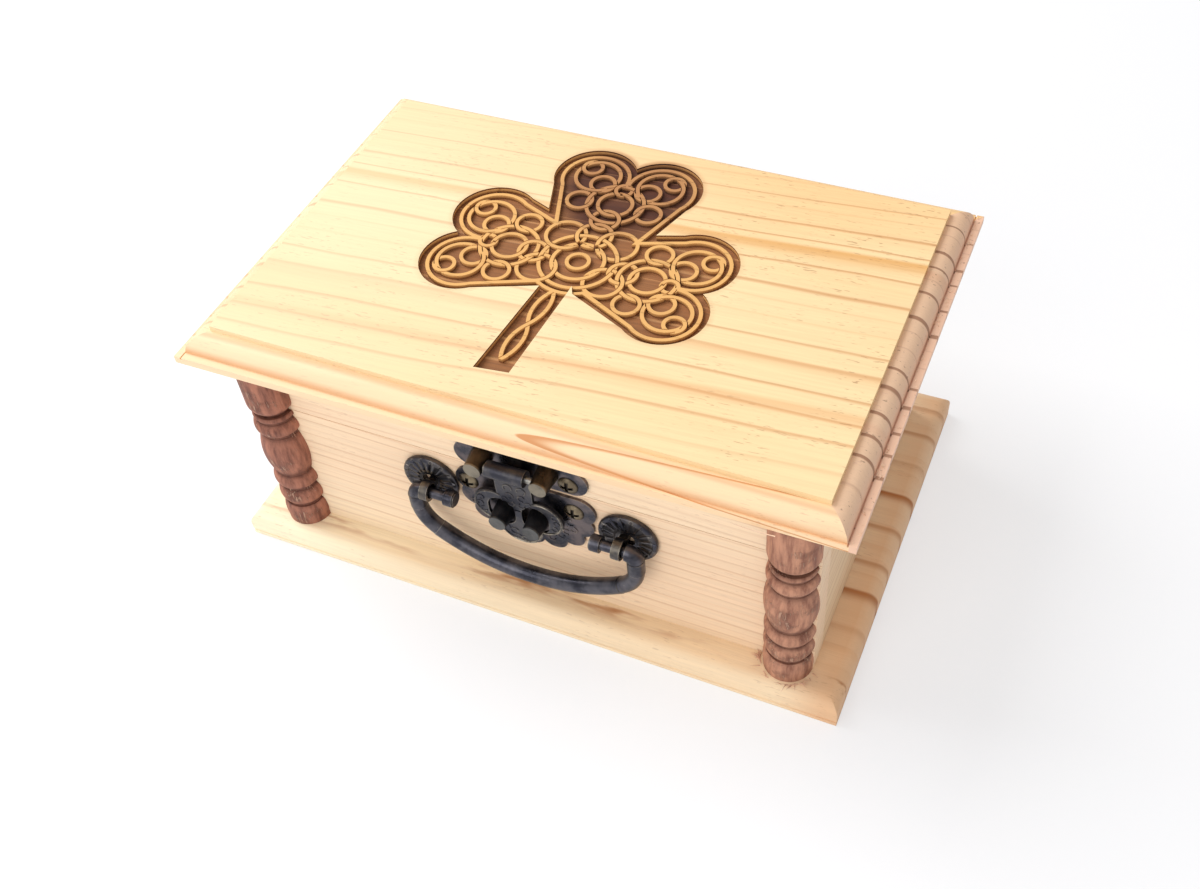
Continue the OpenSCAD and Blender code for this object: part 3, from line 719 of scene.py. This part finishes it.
        # Painted light: the lid's wood is mixed towards a pale cream towards the left end, where the lamps fall
        # on it.
        painted_left_light = bench.times(bench.span(across, -0.075, 0.06, 1.0, 0.0), self.left_light_share)
        colour = bench.mix(painted_left_light, colour, srgb(253, 240, 204))
        haze = bench.span(gap, self.lobe_r, self.lobe_r + 0.0016, 0.55, 0.0)
        halo = bench.times(haze, bench.plus(dark, 0.25), clamp=True)
        halo = bench.times(halo, above)
        colour = bench.mix(halo, colour, srgb(176, 116, 66))
        colour = self.front_moulding(bench, colour, axes, rings["Tone"])
        colour = self.end_moulding(bench, colour, place, axes, rings["Late"])
        colour = bench.mix(cut, colour, burnt)
        rough = bench.plus(bench.span(rings["Fibre"], 0.3, 0.7, 0.46, 0.6), bench.times(cut, 0.2))
        relief = bench.plus(rings["Height"], bench.times(cut, bench.times(rings["Late"], 1.6)))
        return Surface(colour, rough, relief, 0.00012, gloss=0.35)


@dataclass(frozen=True)
class TurnedFinish(Finish):
    """Red-brown stained turned wood."""

    axis: tuple[float, float] = (0.0655, -0.0432)
    seed: float = 0.0
    pale: Colour = srgb(198, 144, 116)
    deep: Colour = srgb(126, 78, 60)

    def surface(self, bench: Bench, place: Socket) -> Surface:
        """Builds stained turned wood, with painted shade in its grooves.

        Args:
            bench: The bench of the material's tree.
            place: Object coordinates in metres.

        Returns:
            What the shader takes.
        """
        fibres = TURNED_FIBRES.placed(bench, {"Vector": place, "Seed": self.seed})
        axes = bench.node("SeparateXYZ", {0: place})
        flat = bench.node("CombineXYZ", {0: axes.outputs[0], 1: axes.outputs[1]}).outputs[0]
        reach = bench.distance(flat, self.axis)
        # Painted shade: the wood is darkened where the turning is thinnest, in its grooves and coves.
        groove = bench.span(reach, 0.0049, 0.0058, 1.0, 0.0)
        ground = bench.mix(bench.span(fibres["Streaks"], 0.22, 0.7), self.deep, self.pale)
        ground = bench.mix(bench.span(fibres["Blotches"], 0.52, 0.72, 0.0, 0.5), ground, srgb(92, 52, 40))
        ground = bench.mix(bench.times(groove, 0.7), ground, srgb(84, 48, 38))
        colour = bench.mix(bench.times(fibres["Torn"], 0.5), ground, srgb(214, 172, 146))
        rough = bench.span(fibres["Streaks"], 0.3, 0.7, 0.55, 0.75)
        return Surface(colour, rough, fibres["Height"], 0.0002, gloss=0.3)


@dataclass(frozen=True)
class MetalFinish(Finish):
    """An antique metal finish with rubbed patches, more rubbed where it stands out."""

    base: Colour = srgb(60, 60, 68)
    mottled: Colour = srgb(96, 92, 96)
    rubbed: Colour = srgb(190, 180, 162)
    wear: float = 0.2
    scale: float = 420.0
    roughness: tuple[float, float] = (0.26, 0.42)
    metallic: float = 0.92
    tips: tuple[float, float] = (-1.0, -1.1)
    tips_share: float = 0.0
    edge: float = 0.00035
    edge_share: float = 0.7
    grit: float = 0.00006

    def surface(self, bench: Bench, place: Socket) -> Surface:
        """Builds the mottled ground, then the rubbed patches and tips.

        Args:
            bench: The bench of the material's tree.
            place: Object coordinates in metres.

        Returns:
            What the shader takes.
        """
        patina = PATINA.placed(bench, {"Vector": place, "Scale": self.scale, "Wear": self.wear})
        ground = bench.mix(bench.span(patina["Mottle"], 0.38, 0.64), self.base, self.mottled)
        front = bench.node("SeparateXYZ", {0: place}).outputs[1]
        tip = bench.span(front, self.tips[1], self.tips[0], self.tips_share, 0.0)
        tip = bench.times(tip, bench.span(patina["Mottle"], 0.3, 0.62, 0.45, 1.0))
        rub = bench.math("MAXIMUM", patina["Rubbed"], tip)
        turned = bench.node("Bevel", {"Radius": self.edge}, samples=4).outputs[0]
        face = bench.node("NewGeometry").outputs["Normal"]
        facing = bench.node("VectorMath", {0: turned, 1: face}, operation="DOT_PRODUCT").outputs["Value"]
        worn = bench.times(bench.span(facing, 0.86, 0.995, 1.0, 0.0), bench.span(patina["Mottle"], 0.36, 0.6))
        rub = bench.math("MAXIMUM", rub, bench.times(worn, self.edge_share))
        colour = bench.mix(bench.times(rub, 0.85), ground, self.rubbed)
        rough = bench.span(patina["Mottle"], 0.3, 0.7, self.roughness[0], self.roughness[1])
        plain = Surface(colour, rough, patina["Height"], self.grit, metallic=self.metallic)
        return self.marked(bench, place, plain)

    def marked(self, bench: Bench, place: Socket, plain: Surface) -> Surface:
        """Adds what the fitting's own shape marks on it; a plain fitting has nothing more."""
        return plain


@dataclass(frozen=True)
class RosetteFinish(MetalFinish):
    """The pull's rosettes, with pressed flutes that run out from the middle."""

    middles: tuple[tuple[float, float], ...] = ((-0.0231, 0.0373), (0.0273, 0.0373))
    flutes: int = 16
    hub: float = 0.0026
    reach: float = 0.0068

    def marked(self, bench: Bench, place: Socket, plain: Surface) -> Surface:
        """Presses the flutes into the dish and darkens their grooves.

        Args:
            bench: The bench of the material's tree.
            place: Object coordinates in metres.
            plain: The metal without its marks.

        Returns:
            What the shader takes.
        """
        across, _, height = bench.node("SeparateXYZ", {0: place}).outputs
        left = bench.math("LESS_THAN", across, (self.middles[0][0] + self.middles[1][0]) / 2)
        middle_x = bench.span(left, 0.0, 1.0, self.middles[1][0], self.middles[0][0])
        out_x = bench.minus(across, middle_x)
        out_z = bench.minus(height, self.middles[0][1])
        turn = bench.plus(bench.math("ARCTAN2", out_z, out_x), math.pi / self.flutes)
        wave = bench.math("ABSOLUTE", bench.math("SINE", bench.times(turn, self.flutes / 2)))
        far = bench.length(out_x, out_z)
        inner = bench.span(far, self.hub, self.hub + 0.001)
        share = bench.times(inner, bench.span(far, self.reach - 0.0012, self.reach, 1.0, 0.0))
        groove = bench.times(share, bench.span(wave, 0.0, 0.45, 1.0, 0.0))
        colour = bench.mix(bench.times(groove, 0.55), plain.colour, srgb(24, 22, 24))
        ridge = bench.times(share, bench.math("POWER", wave, 0.7))
        relief = bench.plus(bench.times(plain.height, 0.12), ridge)
        return Surface(colour, plain.roughness, relief, 0.0005, metallic=self.metallic)


@dataclass(frozen=True)
class ScrewFinish(MetalFinish):
    """Small screws with painted shade in their cross recess and round their rim."""

    heads: tuple[tuple[float, float], ...] = ()
    arm: float = 0.00145
    arm_half: float = 0.00042
    head_r: float = 0.0025

    def marked(self, bench: Bench, place: Socket, plain: Surface) -> Surface:
        """Paints shade into the cross and round the rim of every head.

        Args:
            bench: The bench of the material's tree.
            place: Object coordinates in metres.
            plain: The metal without its marks.

        Returns:
            What the shader takes.
        """
        across, _, height = bench.node("SeparateXYZ", {0: place}).outputs
        recess_shade: Optional[Socket] = None
        for head_x, head_z in self.heads:
            out_x = bench.math("ABSOLUTE", bench.minus(across, head_x))
            out_z = bench.math("ABSOLUTE", bench.minus(height, head_z))
            slim = bench.math("MINIMUM", out_x, out_z)
            long = bench.math("MAXIMUM", out_x, out_z)
            cross = bench.span(slim, self.arm_half * 0.8, self.arm_half * 1.3, 1.0, 0.0)
            cross = bench.times(cross, bench.span(long, self.arm, self.arm * 1.15, 1.0, 0.0))
            far = bench.length(out_x, out_z)
            rim = bench.span(far, self.head_r * 0.86, self.head_r)
            rim = bench.times(rim, bench.span(far, self.head_r, self.head_r * 1.3, 0.8, 0.0))
            found = bench.math("MAXIMUM", cross, rim)
            recess_shade = found if recess_shade is None else bench.math("MAXIMUM", recess_shade, found)
        # Painted shade: the cross recess and the ring where each head meets its plate are darkened.
        colour = bench.mix(bench.times(recess_shade, 0.93), plain.colour, srgb(30, 24, 20))
        return Surface(colour, plain.roughness, plain.height, plain.depth, metallic=plain.metallic)


def dress(names: Sequence[str], finish: Finish) -> None:
    """Gives CAD nodes one finish.

    Args:
        names: The nodes' names.
        finish: Their finish.
    """
    made = finish.material()
    for name in names:
        node = FRAME["nodes"][name]
        if not node.material_slots:
            node.data.materials.append(made)
        for place in node.material_slots:
            place.material = made
        LOG.info("  %s: %s", name, finish.name)


def deselect() -> None:
    """Leaves nothing selected and no mode open."""
    if bpy.context.object and bpy.context.object.mode != "OBJECT":
        bpy.ops.object.mode_set(mode="OBJECT")
    bpy.ops.object.select_all(action="DESELECT")


def bead(
    middle: tuple[float, float], radius: float, thick: float, face_y: float, start: float, sweep: float
) -> bpy.types.Object:
    """Models one raised bead that follows an arc on an upright face.

    Args:
        middle: The arc's middle, X and Z in metres.
        radius: The arc's radius.
        thick: The bead's own radius.
        face_y: The face that it lies on.
        start: Where the arc starts, in degrees from +X towards +Z.
        sweep: How far it goes round, in degrees.

    Returns:
        The bead's object.
    """
    deselect()
    begin = math.radians(start)
    place = (middle[0] + radius * math.cos(begin), face_y, middle[1] + radius * math.sin(begin))
    bpy.ops.mesh.primitive_circle_add(
        vertices=BEAD_CORNERS, radius=thick, fill_type="NGON", location=place, rotation=(0.0, -begin, 0.0)
    )
    made = bpy.context.object
    bpy.ops.object.mode_set(mode="EDIT")
    bpy.ops.mesh.select_all(action="SELECT")
    steps = max(6, round(abs(sweep) / BEAD_STEP))
    bpy.ops.mesh.spin(
        steps=steps, angle=math.radians(sweep), center=(middle[0], face_y, middle[1]), axis=(0.0, 1.0, 0.0)
    )
    bpy.ops.mesh.select_all(action="SELECT")
    bpy.ops.mesh.remove_doubles(threshold=WELD_GAP)
    bpy.ops.mesh.normals_make_consistent(inside=False)
    bpy.ops.object.mode_set(mode="OBJECT")
    return made


def joined(parts: Sequence[bpy.types.Object], name: str, finish: Finish, body: str) -> None:
    """Joins parts into one piece at the origin, dresses it and lets it ride on a body.

    Args:
        parts: The objects to join.
        name: The piece's name.
        finish: Its finish.
        body: The body it moves with.
    """
    deselect()
    for part in parts:
        part.select_set(True)
    bpy.context.view_layer.objects.active = parts[0]
    bpy.ops.object.join()
    bpy.ops.object.transform_apply(location=True, rotation=True, scale=True)
    bpy.ops.object.shade_smooth_by_angle(angle=SMOOTH_ANGLE)
    made = bpy.context.object
    made.name = name
    made.data.name = name
    made.data.materials.clear()
    made.data.materials.append(finish.material())
    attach(made, body)
    LOG.info("  %s: %d faces, on %s", name, len(made.data.polygons), body)


FACE_PINE = PineFinish(
    "pine front", pith=(0.03, -0.11), spacing=0.0023, warp=0.0012, seed=7.7, slant=0.4,
    late_share=0.42, sharp=0.6, pale=srgb(250, 226, 192), deep=srgb(206, 152, 108), flush=srgb(246, 213, 178),
)
END_PINE = PineFinish(
    "pine ends", grain=Grain.ALONG_Y, pith=(0.02, -0.12), spacing=0.0026, warp=0.0012, seed=5.2,
    late_share=0.5, sharp=0.5, pale=srgb(240, 214, 176), deep=srgb(196, 142, 98), flush=srgb(236, 202, 162),
)
BRIGHT_PIN = MetalFinish("bright pin", base=srgb(110, 108, 104), mottled=srgb(150, 148, 142), wear=0.5)


@dataclass
class Walls:
    """The base board and the four walls of the box."""

    ledge_y: float = -0.043
    year_end: float = 0.0008
    patchy: float = 38.0
    base_years: tuple[tuple[float, float, float], ...] = (
        (-0.0440, 0.0046, 0.85),
        (-0.0300, 0.0030, 0.25),
        (-0.0193, 0.0036, 0.95),
        (-0.0104, 0.0024, 0.6),
        (0.0010, 0.0024, 0.6),
        (0.0122, 0.0034, 1.0),
        (0.0235, 0.0030, 0.3),
        (0.0343, 0.0024, 0.6),
        (0.0440, 0.0024, 0.5),
    )

    def build(self) -> int:
        """Dresses the base and walls.

        Returns:
            How many nodes it dressed.
        """
        base = PineFinish(
            "pine base", shaded_from_x=0.064, pith=(-0.30, 0.02), spacing=0.0056, warp=0.002, seed=3.1,
            late_share=0.28, slant=0.6,
            pale=srgb(254, 240, 208), deep=srgb(220, 170, 122), flush=srgb(249, 222, 184),
            streaks=tuple(
                Streak(at, width, share, end=self.year_end, broken=0.0 if at > self.ledge_y else self.patchy)
                for at, width, share in self.base_years
            ),
        )
        dress(["base_board"], base)
        dress(["front_wall", "back_wall"], FACE_PINE)
        dress(["left_wall", "right_wall"], END_PINE)
        return 5


@dataclass
class Columns:
    """The split turned columns on the front corners, and their caps on the lid."""

    axis_x: float = 0.0655
    axis_y: float = -0.0432
    stains: tuple[tuple[str, int, Colour, Colour], ...] = (
        ("left", -1, srgb(178, 120, 98), srgb(108, 64, 52)),
        ("right", 1, srgb(200, 146, 118), srgb(130, 80, 62)),
    )

    def build(self) -> int:
        """Dresses the columns.

        Returns:
            How many nodes it dressed.
        """
        for word, side, pale, deep in self.stains:
            axis = (side * self.axis_x, self.axis_y)
            finish = TurnedFinish(f"turned {word}", axis=axis, seed=2.0 + side, pale=pale, deep=deep)
            dress([f"{word}_column", f"{word}_column_cap"], finish)
        return 4


@dataclass
class Lid:
    """The lid's carved board and its skirt."""

    def build(self) -> int:
        """Dresses the lid.

        Returns:
            How many nodes it dressed.
        """
        board = CarvedLidFinish(
            "pine lid carved", pores=0.5, pith=(-0.085, 0.085), spacing=0.01225, tighten=520.0, sharp=0.72,
            warp=0.0022, seed=1.4, slant=3.9, late_share=0.72,
            pale=srgb(250, 219, 168), deep=srgb(204, 140, 82), flush=srgb(247, 205, 148),
            streaks=(
                Streak(0.0195, 0.0055, 0.8, srgb(226, 166, 92), 0.0012),
                Streak(-0.0300, 0.0050, 0.4, srgb(226, 160, 100), 0.0016),
                Streak(-0.0180, 0.0040, 0.3, srgb(220, 158, 100), 0.0014),
            ),
        )
        skirt = replace(FACE_PINE, name="pine skirt", seed=9.3, late_share=0.5, sharp=0.55)
        ends = replace(END_PINE, name="pine skirt ends", seed=4.6)
        dress(["lid_board"], board)
        dress(["front_skirt", "back_skirt"], skirt)
        dress(["left_skirt", "right_skirt"], ends)
        return 5


@dataclass
class Latch:
    """The keeper, its studs, the upper plate, its posts and the hasp, with their relief."""

    middle_x: float = 0.0008
    hasp_face: float = -0.0463
    keeper_face: float = -0.0440
    shoulder: tuple[float, float] = (0.0061, 0.0374)
    shoulder_r: float = 0.0053
    chin_z: float = 0.0321
    chin_r: float = 0.0057
    rim_in: float = 0.0004
    rim_thick: float = 0.00024
    scroll_thick: float = 0.0002
    hasp_scrolls: tuple[tuple[float, float, float, float, float], ...] = (
        (0.0094, 0.0392, 0.00075, 20.0, 280.0),
        (0.0098, 0.0371, 0.00070, -60.0, 280.0),
        (0.0091, 0.0350, 0.00080, 100.0, -260.0),
        (0.0017, 0.0455, 0.00110, 200.0, -250.0),
        (0.0015, 0.0428, 0.00090, 30.0, 260.0),
        (0.0030, 0.0412, 0.00070, 180.0, -250.0),
        (0.0013, 0.0402, 0.00080, 120.0, 240.0),
        (0.0018, 0.0299, 0.00100, 160.0, -270.0),
        (0.0036, 0.0309, 0.00065, -20.0, 250.0),
        (0.0008, 0.0281, 0.00065, 60.0, 250.0),
    )
    keeper_scrolls: tuple[tuple[float, float, float, float, float], ...] = (
        (0.0120, 0.0362, 0.00100, 60.0, 250.0),
        (0.0128, 0.0338, 0.00085, 200.0, 250.0),
        (0.0107, 0.0322, 0.00085, 300.0, -250.0),
        (0.0092, 0.0302, 0.00080, 20.0, -240.0),
        (0.0067, 0.0282, 0.00080, 120.0, 240.0),
    )

    def scrolls(self, rows: Sequence[Sequence[float]], face: float) -> list[bpy.types.Object]:
        """Models small scrolls on both sides of the middle.

        Args:
            rows: Distance from the middle, height, radius, start and sweep of each scroll.
            face: The face that they lie on.

        Returns:
            The scrolls' objects.
        """
        made = []
        for out, height, radius, start, sweep in rows:
            for side, begin, way in ((1, start, sweep), (-1, 180.0 - start, -sweep)):
                middle = (self.middle_x + side * out, height)
                made.append(bead(middle, radius, self.scroll_thick, face, begin, way))
        return made

    def hasp_relief(self, rim: Finish, ground: Finish) -> None:
        """Models the raised rim and the scrolls on the hasp.

        Args:
            rim: The finish of the rubbed rim.
            ground: The finish of the scrolls.
        """
        shoulder_r = self.shoulder_r - self.rim_in
        chin_r = self.chin_r - self.rim_in
        out, height = self.shoulder
        parts = [
            bead((self.middle_x + out, height), shoulder_r, self.rim_thick, self.hasp_face, -98.0, 212.0),
            bead((self.middle_x - out, height), shoulder_r, self.rim_thick, self.hasp_face, 278.0, -212.0),
            bead((self.middle_x, self.chin_z), chin_r, self.rim_thick, self.hasp_face, 176.0, 188.0),
        ]
        joined(parts, "hasp_rim", rim, "hasp")
        joined(self.scrolls(self.hasp_scrolls, self.hasp_face), "hasp_scrolls", ground, "hasp")

    def keeper_relief(self, finish: Finish) -> None:
        """Models the scrolls on the keeper beside the hasp."""
        parts = self.scrolls(self.keeper_scrolls, self.keeper_face)
        joined(parts, "keeper_relief", finish, "box")

    def build(self) -> int:
        """Dresses the latch, models its relief.

        Returns:
            How many nodes it dressed.
        """
        plate = MetalFinish("black plate", wear=0.14, mottled=srgb(112, 102, 102))
        hasp = MetalFinish("black hasp", wear=0.22, mottled=srgb(88, 86, 88), roughness=(0.32, 0.46))
        relief = MetalFinish(
            "rubbed relief", wear=0.75, base=srgb(84, 82, 82), mottled=srgb(128, 120, 110),
            edge=0.0001, edge_share=0.2,
        )
        studs = MetalFinish(
            "black studs", wear=0.1, tips=(-0.0488, -0.0493), tips_share=0.75, rubbed=srgb(128, 128, 126),
            base=srgb(40, 40, 44), mottled=srgb(60, 58, 60), grit=0.00014, roughness=(0.4, 0.6),
        )
        posts = MetalFinish(
            "brown posts", base=srgb(58, 50, 42), mottled=srgb(88, 76, 62), wear=0.25,
            tips=(-0.0488, -0.0493), tips_share=0.9, rubbed=srgb(150, 142, 126),
        )
        screws = ScrewFinish(
            "front screws", base=srgb(106, 94, 76), mottled=srgb(142, 128, 104), rubbed=srgb(190, 178, 150),
            wear=0.4, heads=tuple(self.screw_heads()),
        )
        dress(["keeper_plate", "latch_plate"], plate)
        dress(["hasp"], hasp)
        dress(["keeper_studs"], studs)
        dress(["latch_posts"], posts)
        dress(["keeper_screws", "latch_screw"], screws)
        dress(["latch_pin"], BRIGHT_PIN)
        self.hasp_relief(relief, hasp)
        self.keeper_relief(plate)
        return 8

    def screw_heads(self) -> list[tuple[float, float]]:
        """Gives the middles of the three screws on the front, X and Z.

        Returns:
            X and Z of each middle.
        """
        low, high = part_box("keeper_screws")
        edge = (high[2] - low[2]) / 2
        level = (low[2] + high[2]) / 2
        one_low, one_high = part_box("latch_screw")
        single = ((one_low[0] + one_high[0]) / 2, (one_low[2] + one_high[2]) / 2)
        return [(low[0] + edge, level), (high[0] - edge, level), single]


@dataclass
class Pull:
    """The bail, its eyes and rosettes."""

    def build(self) -> int:
        """Dresses the pull.

        Returns:
            How many nodes it dressed.
        """
        bail = MetalFinish("black bail", wear=0.3, scale=300.0, mottled=srgb(98, 96, 102))
        rosette = RosetteFinish("black rosette", wear=0.16, mottled=srgb(88, 84, 84))
        eye = MetalFinish("black eye", wear=0.25, mottled=srgb(104, 98, 90))
        dress(["bail"], bail)
        dress(["left_rosette", "right_rosette"], rosette)
        dress(["left_eye", "right_eye"], eye)
        return 5


@dataclass
class Hinges:
    """The two butt hinges on the back."""

    def build(self) -> int:
        """Dresses the hinges.

        Returns:
            How many nodes it dressed.
        """
        leaf = MetalFinish(
            "antique brass leaf", wear=0.3,
            base=srgb(92, 74, 48), mottled=srgb(128, 104, 66), rubbed=srgb(186, 160, 108),
        )
        screws = MetalFinish(
            "dull brass screws", wear=0.4,
            base=srgb(128, 118, 94), mottled=srgb(160, 150, 122), rubbed=srgb(196, 188, 164),
        )
        for word in ("left", "right"):
            dress([f"{word}_hinge_box_leaf", f"{word}_hinge_lid_leaf"], leaf)
            dress([f"{word}_hinge_pin"], BRIGHT_PIN)
        dress(["hinge_box_screws", "hinge_lid_screws"], screws)
        return 8


@dataclass
class Splinters:
    """Torn fibres: along the right lip, round the right column's foot and under the front lip."""

    length: float = 0.0011
    thick: float = 0.00011
    corners: int = 5
    taper: float = 0.2
    bend_at: float = 0.55
    tip_from: float = 0.8
    lean: float = 0.3
    lip_x: float = 0.0793
    lip_z: float = 0.0673
    lip_y: float = 0.0525
    lip_depth: float = 0.0012
    lip_count: int = 90
    foot: tuple[float, float, float] = (0.0655, -0.0432, 0.0071)
    foot_r: float = 0.0064
    foot_gap: float = 0.001
    foot_count: int = 36
    chip: tuple[float, float, float] = (0.0640, -0.0530, 0.06558)
    chip_strands: int = 5
    seed: int = 11

    def fibre(self) -> bpy.types.Object:
        """Models one bent fibre, from a cone whose middle is cut and whose tip is pushed aside.

        Returns:
            The fibre.
        """
        deselect()
        middle = (0.0, 0.0, self.length / 2)
        bpy.ops.mesh.primitive_cone_add(
            vertices=self.corners, radius1=self.thick, radius2=self.thick * self.taper,
            depth=self.length, location=middle,
        )
        made = bpy.context.object
        bpy.ops.object.transform_apply(location=True, rotation=True, scale=True)
        bpy.ops.object.mode_set(mode="EDIT")
        bpy.ops.mesh.select_all(action="SELECT")
        bpy.ops.mesh.bisect(plane_co=(0.0, 0.0, self.length * self.bend_at), plane_no=(0.0, 0.0, 1.0))
        bpy.ops.mesh.select_all(action="DESELECT")
        bpy.ops.object.mode_set(mode="OBJECT")
        for corner in made.data.vertices:
            corner.select = corner.co.z > self.length * self.tip_from
        bpy.ops.object.mode_set(mode="EDIT")
        bpy.ops.transform.translate(value=(self.length * self.lean, 0.0, 0.0))
        bpy.ops.object.mode_set(mode="OBJECT")
        return made

    def strewn(self, places: Sequence[tuple[Vector, Euler, float]]) -> list[bpy.types.Object]:
        """Copies the fibre to each place, each copy with its own mesh.

        Args:
            places: Place, turn and size of each copy.

        Returns:
            The copies.
        """
        first = self.fibre()
        made = []
        for place, turn, size in places:
            deselect()
            first.select_set(True)
            bpy.context.view_layer.objects.active = first
            bpy.ops.object.duplicate(linked=False)
            copy = bpy.context.object
            copy.location = place
            copy.rotation_euler = turn
            copy.scale = (1.0, 1.0, size)
            made.append(copy)
        deselect()
        first.select_set(True)
        bpy.ops.object.delete()
        return made

    def lip(self, draw: random.Random, finish: Finish) -> None:
        """Lays fibres along the top of the right lip.

        Args:
            draw: The source of the random numbers.
            finish: The fibres' finish.
        """
        places = []
        for _ in range(self.lip_count):
            along = draw.uniform(-self.lip_y, self.lip_y)
            turn = Euler((draw.uniform(-1.3, 1.3), draw.uniform(-0.5, 0.0), draw.uniform(1.2, 1.9)))
            place = Vector((self.lip_x - draw.uniform(0.0, self.lip_depth), along, self.lip_z))
            places.append((place, turn, draw.uniform(0.4, 0.9)))
        joined(self.strewn(places), "lip_fibres", finish, "lid")

    def round_foot(self, draw: random.Random) -> None:
        """Lays fibres round the right column's foot, more of them on its left.

        Args:
            draw: The source of the random numbers.
        """
        dust = PineFinish(
            "torn stain", pale=srgb(232, 190, 162), deep=srgb(176, 124, 98), flush=srgb(214, 164, 136), seed=5.0
        )
        places = []
        for _ in range(self.foot_count):
            way = math.radians(draw.choice((draw.uniform(165.0, 215.0), draw.uniform(170.0, 350.0))))
            out = self.foot_r + draw.uniform(0.0, 0.0004)
            y = min(self.foot[1] + out * math.sin(way), self.foot[1] - self.foot_gap)
            spot = Vector((self.foot[0] + out * math.cos(way), y, self.foot[2]))
            turn = Euler((0.0, draw.uniform(1.0, 1.45), way + draw.uniform(-1.7, 1.7)))
            places.append((spot, turn, draw.uniform(0.8, 2.2)))
        joined(self.strewn(places), "foot_fibres", dust, "box")

    def under_lip(self, finish: Finish) -> None:
        """Models the chip that is split from the front lip, as strands that fan out from one root.

        Args:
            finish: The chip's finish.
        """
        x, y, z = self.chip
        strands = []
        for step in range(self.chip_strands):
            root = Vector((x, y + 0.00005 * step, z - 0.00003 * step))
            strands.append((root, Euler((0.0, -math.pi / 2 - 0.03 * step, 0.0)), 8.5 - 0.8 * step))
        joined(self.strewn(strands), "lip_chip", finish, "lid")

    def build(self) -> int:
        """Models the fibres.

        Returns:
            How many fibres there are.
        """
        draw = random.Random(self.seed)
        torn = PineFinish(
            "torn pine", pale=srgb(244, 214, 184), deep=srgb(206, 158, 122), flush=srgb(232, 196, 164), seed=2.2
        )
        self.lip(draw, torn)
        self.round_foot(draw)
        self.under_lip(torn)
        return self.lip_count + self.foot_count + self.chip_strands


@dataclass
class Studio:
    """The floor, the lamps, the world and the camera."""

    floor_size: float = 6.0
    floor_drop: float = 0.0001
    floor_glow: float = 0.55
    camera_at: tuple[float, float, float] = (0.11002, -0.20525, 0.27350)
    camera_turn: tuple[float, float, float] = (0.72337, 0.07265, 0.41413)
    lens: float = 39.77
    sensor: float = 36.0
    nearest: float = 0.01
    lamp_aim: tuple[float, float, float] = (0.0, 0.0, 0.04)
    lamps: tuple[tuple[str, tuple[float, float, float], float, float], ...] = (
        ("window_lamp", (-0.75, 0.10, 0.95), 0.8, 11.0),
        ("room_lamp", (-0.15, -1.1, 0.75), 0.9, 6.0),
    )
    world_light: float = 0.5

    def floor(self) -> None:
        """Adds the pale floor, which keeps the box's shadow."""
        deselect()
        bpy.ops.mesh.primitive_plane_add(size=self.floor_size, location=(0.0, 0.0, -self.floor_drop))
        plane = bpy.context.object
        plane.name = "studio_floor"
        made = bpy.data.materials.new("pale floor")
        made.use_nodes = True
        made.node_tree.nodes.clear()
        bench = Bench(made.node_tree)
        diffuse = bench.node("BsdfDiffuse", {"Color": srgb(252, 252, 254)}).outputs[0]
        glow = bench.node("Emission", {"Color": srgb(253, 253, 254), "Strength": 1.0}).outputs[0]
        rays = bench.node("LightPath")
        seen = bench.math("MAXIMUM", rays.outputs["Is Camera Ray"], rays.outputs["Is Glossy Ray"])
        seen = bench.math("MAXIMUM", seen, rays.outputs["Is Transmission Ray"])
        share = bench.times(seen, self.floor_glow)
        mixed = bench.node("MixShader", {0: share, 1: diffuse, 2: glow}).outputs[0]
        bench.node("OutputMaterial", {"Surface": mixed})
        plane.data.materials.append(made)

    def light(self) -> None:
        """Adds the soft lamps and the white world."""
        for name, place, size, power in self.lamps:
            deselect()
            bpy.ops.object.light_add(type="AREA", location=place)
            lamp = bpy.context.object
            lamp.name = name
            lamp.data.size = size
            lamp.data.energy = power
            toward = Vector(self.lamp_aim) - Vector(place)
            lamp.rotation_euler = toward.to_track_quat("-Z", "Y").to_euler()
        world = bpy.context.scene.world or bpy.data.worlds.new("studio")
        bpy.context.scene.world = world
        world.use_nodes = True
        world.node_tree.nodes.clear()
        bench = Bench(world.node_tree)
        rays = bench.node("LightPath")
        seen = bench.math("MAXIMUM", rays.outputs["Is Camera Ray"], rays.outputs["Is Transmission Ray"])
        level = bench.span(seen, 0.0, 1.0, self.world_light, 1.0)
        back = bench.node("Background", {"Color": srgb(254, 254, 255), "Strength": level})
        bench.node("OutputWorld", {"Surface": back.outputs[0]})

    def camera(self) -> None:
        """Sets the camera where the photograph was taken from."""
        deselect()
        bpy.ops.object.camera_add(location=self.camera_at, rotation=Euler(self.camera_turn))
        camera = bpy.context.object
        camera.name = "photo_camera"
        camera.data.sensor_width = self.sensor
        camera.data.lens = self.lens
        camera.data.clip_start = self.nearest
        bpy.context.scene.camera = camera

    def build(self) -> None:
        """Builds the whole studio."""
        self.floor()
        self.light()
        self.camera()
        bpy.context.scene.view_settings.view_transform = "Standard"


def main() -> None:
    """Builds the studio, then each sub-assembly in order."""
    studio = Studio()
    studio.build()
    LOG.info("studio: floor, lamps, world and camera")
    for part in (Walls(), Columns(), Lid(), Latch(), Pull(), Hinges()):
        LOG.info("%s: %d nodes dressed", type(part).__name__, part.build())
    LOG.info("torn fibres: %d", Splinters().build())


if __name__ == "__main__":
    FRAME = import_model()
    main()
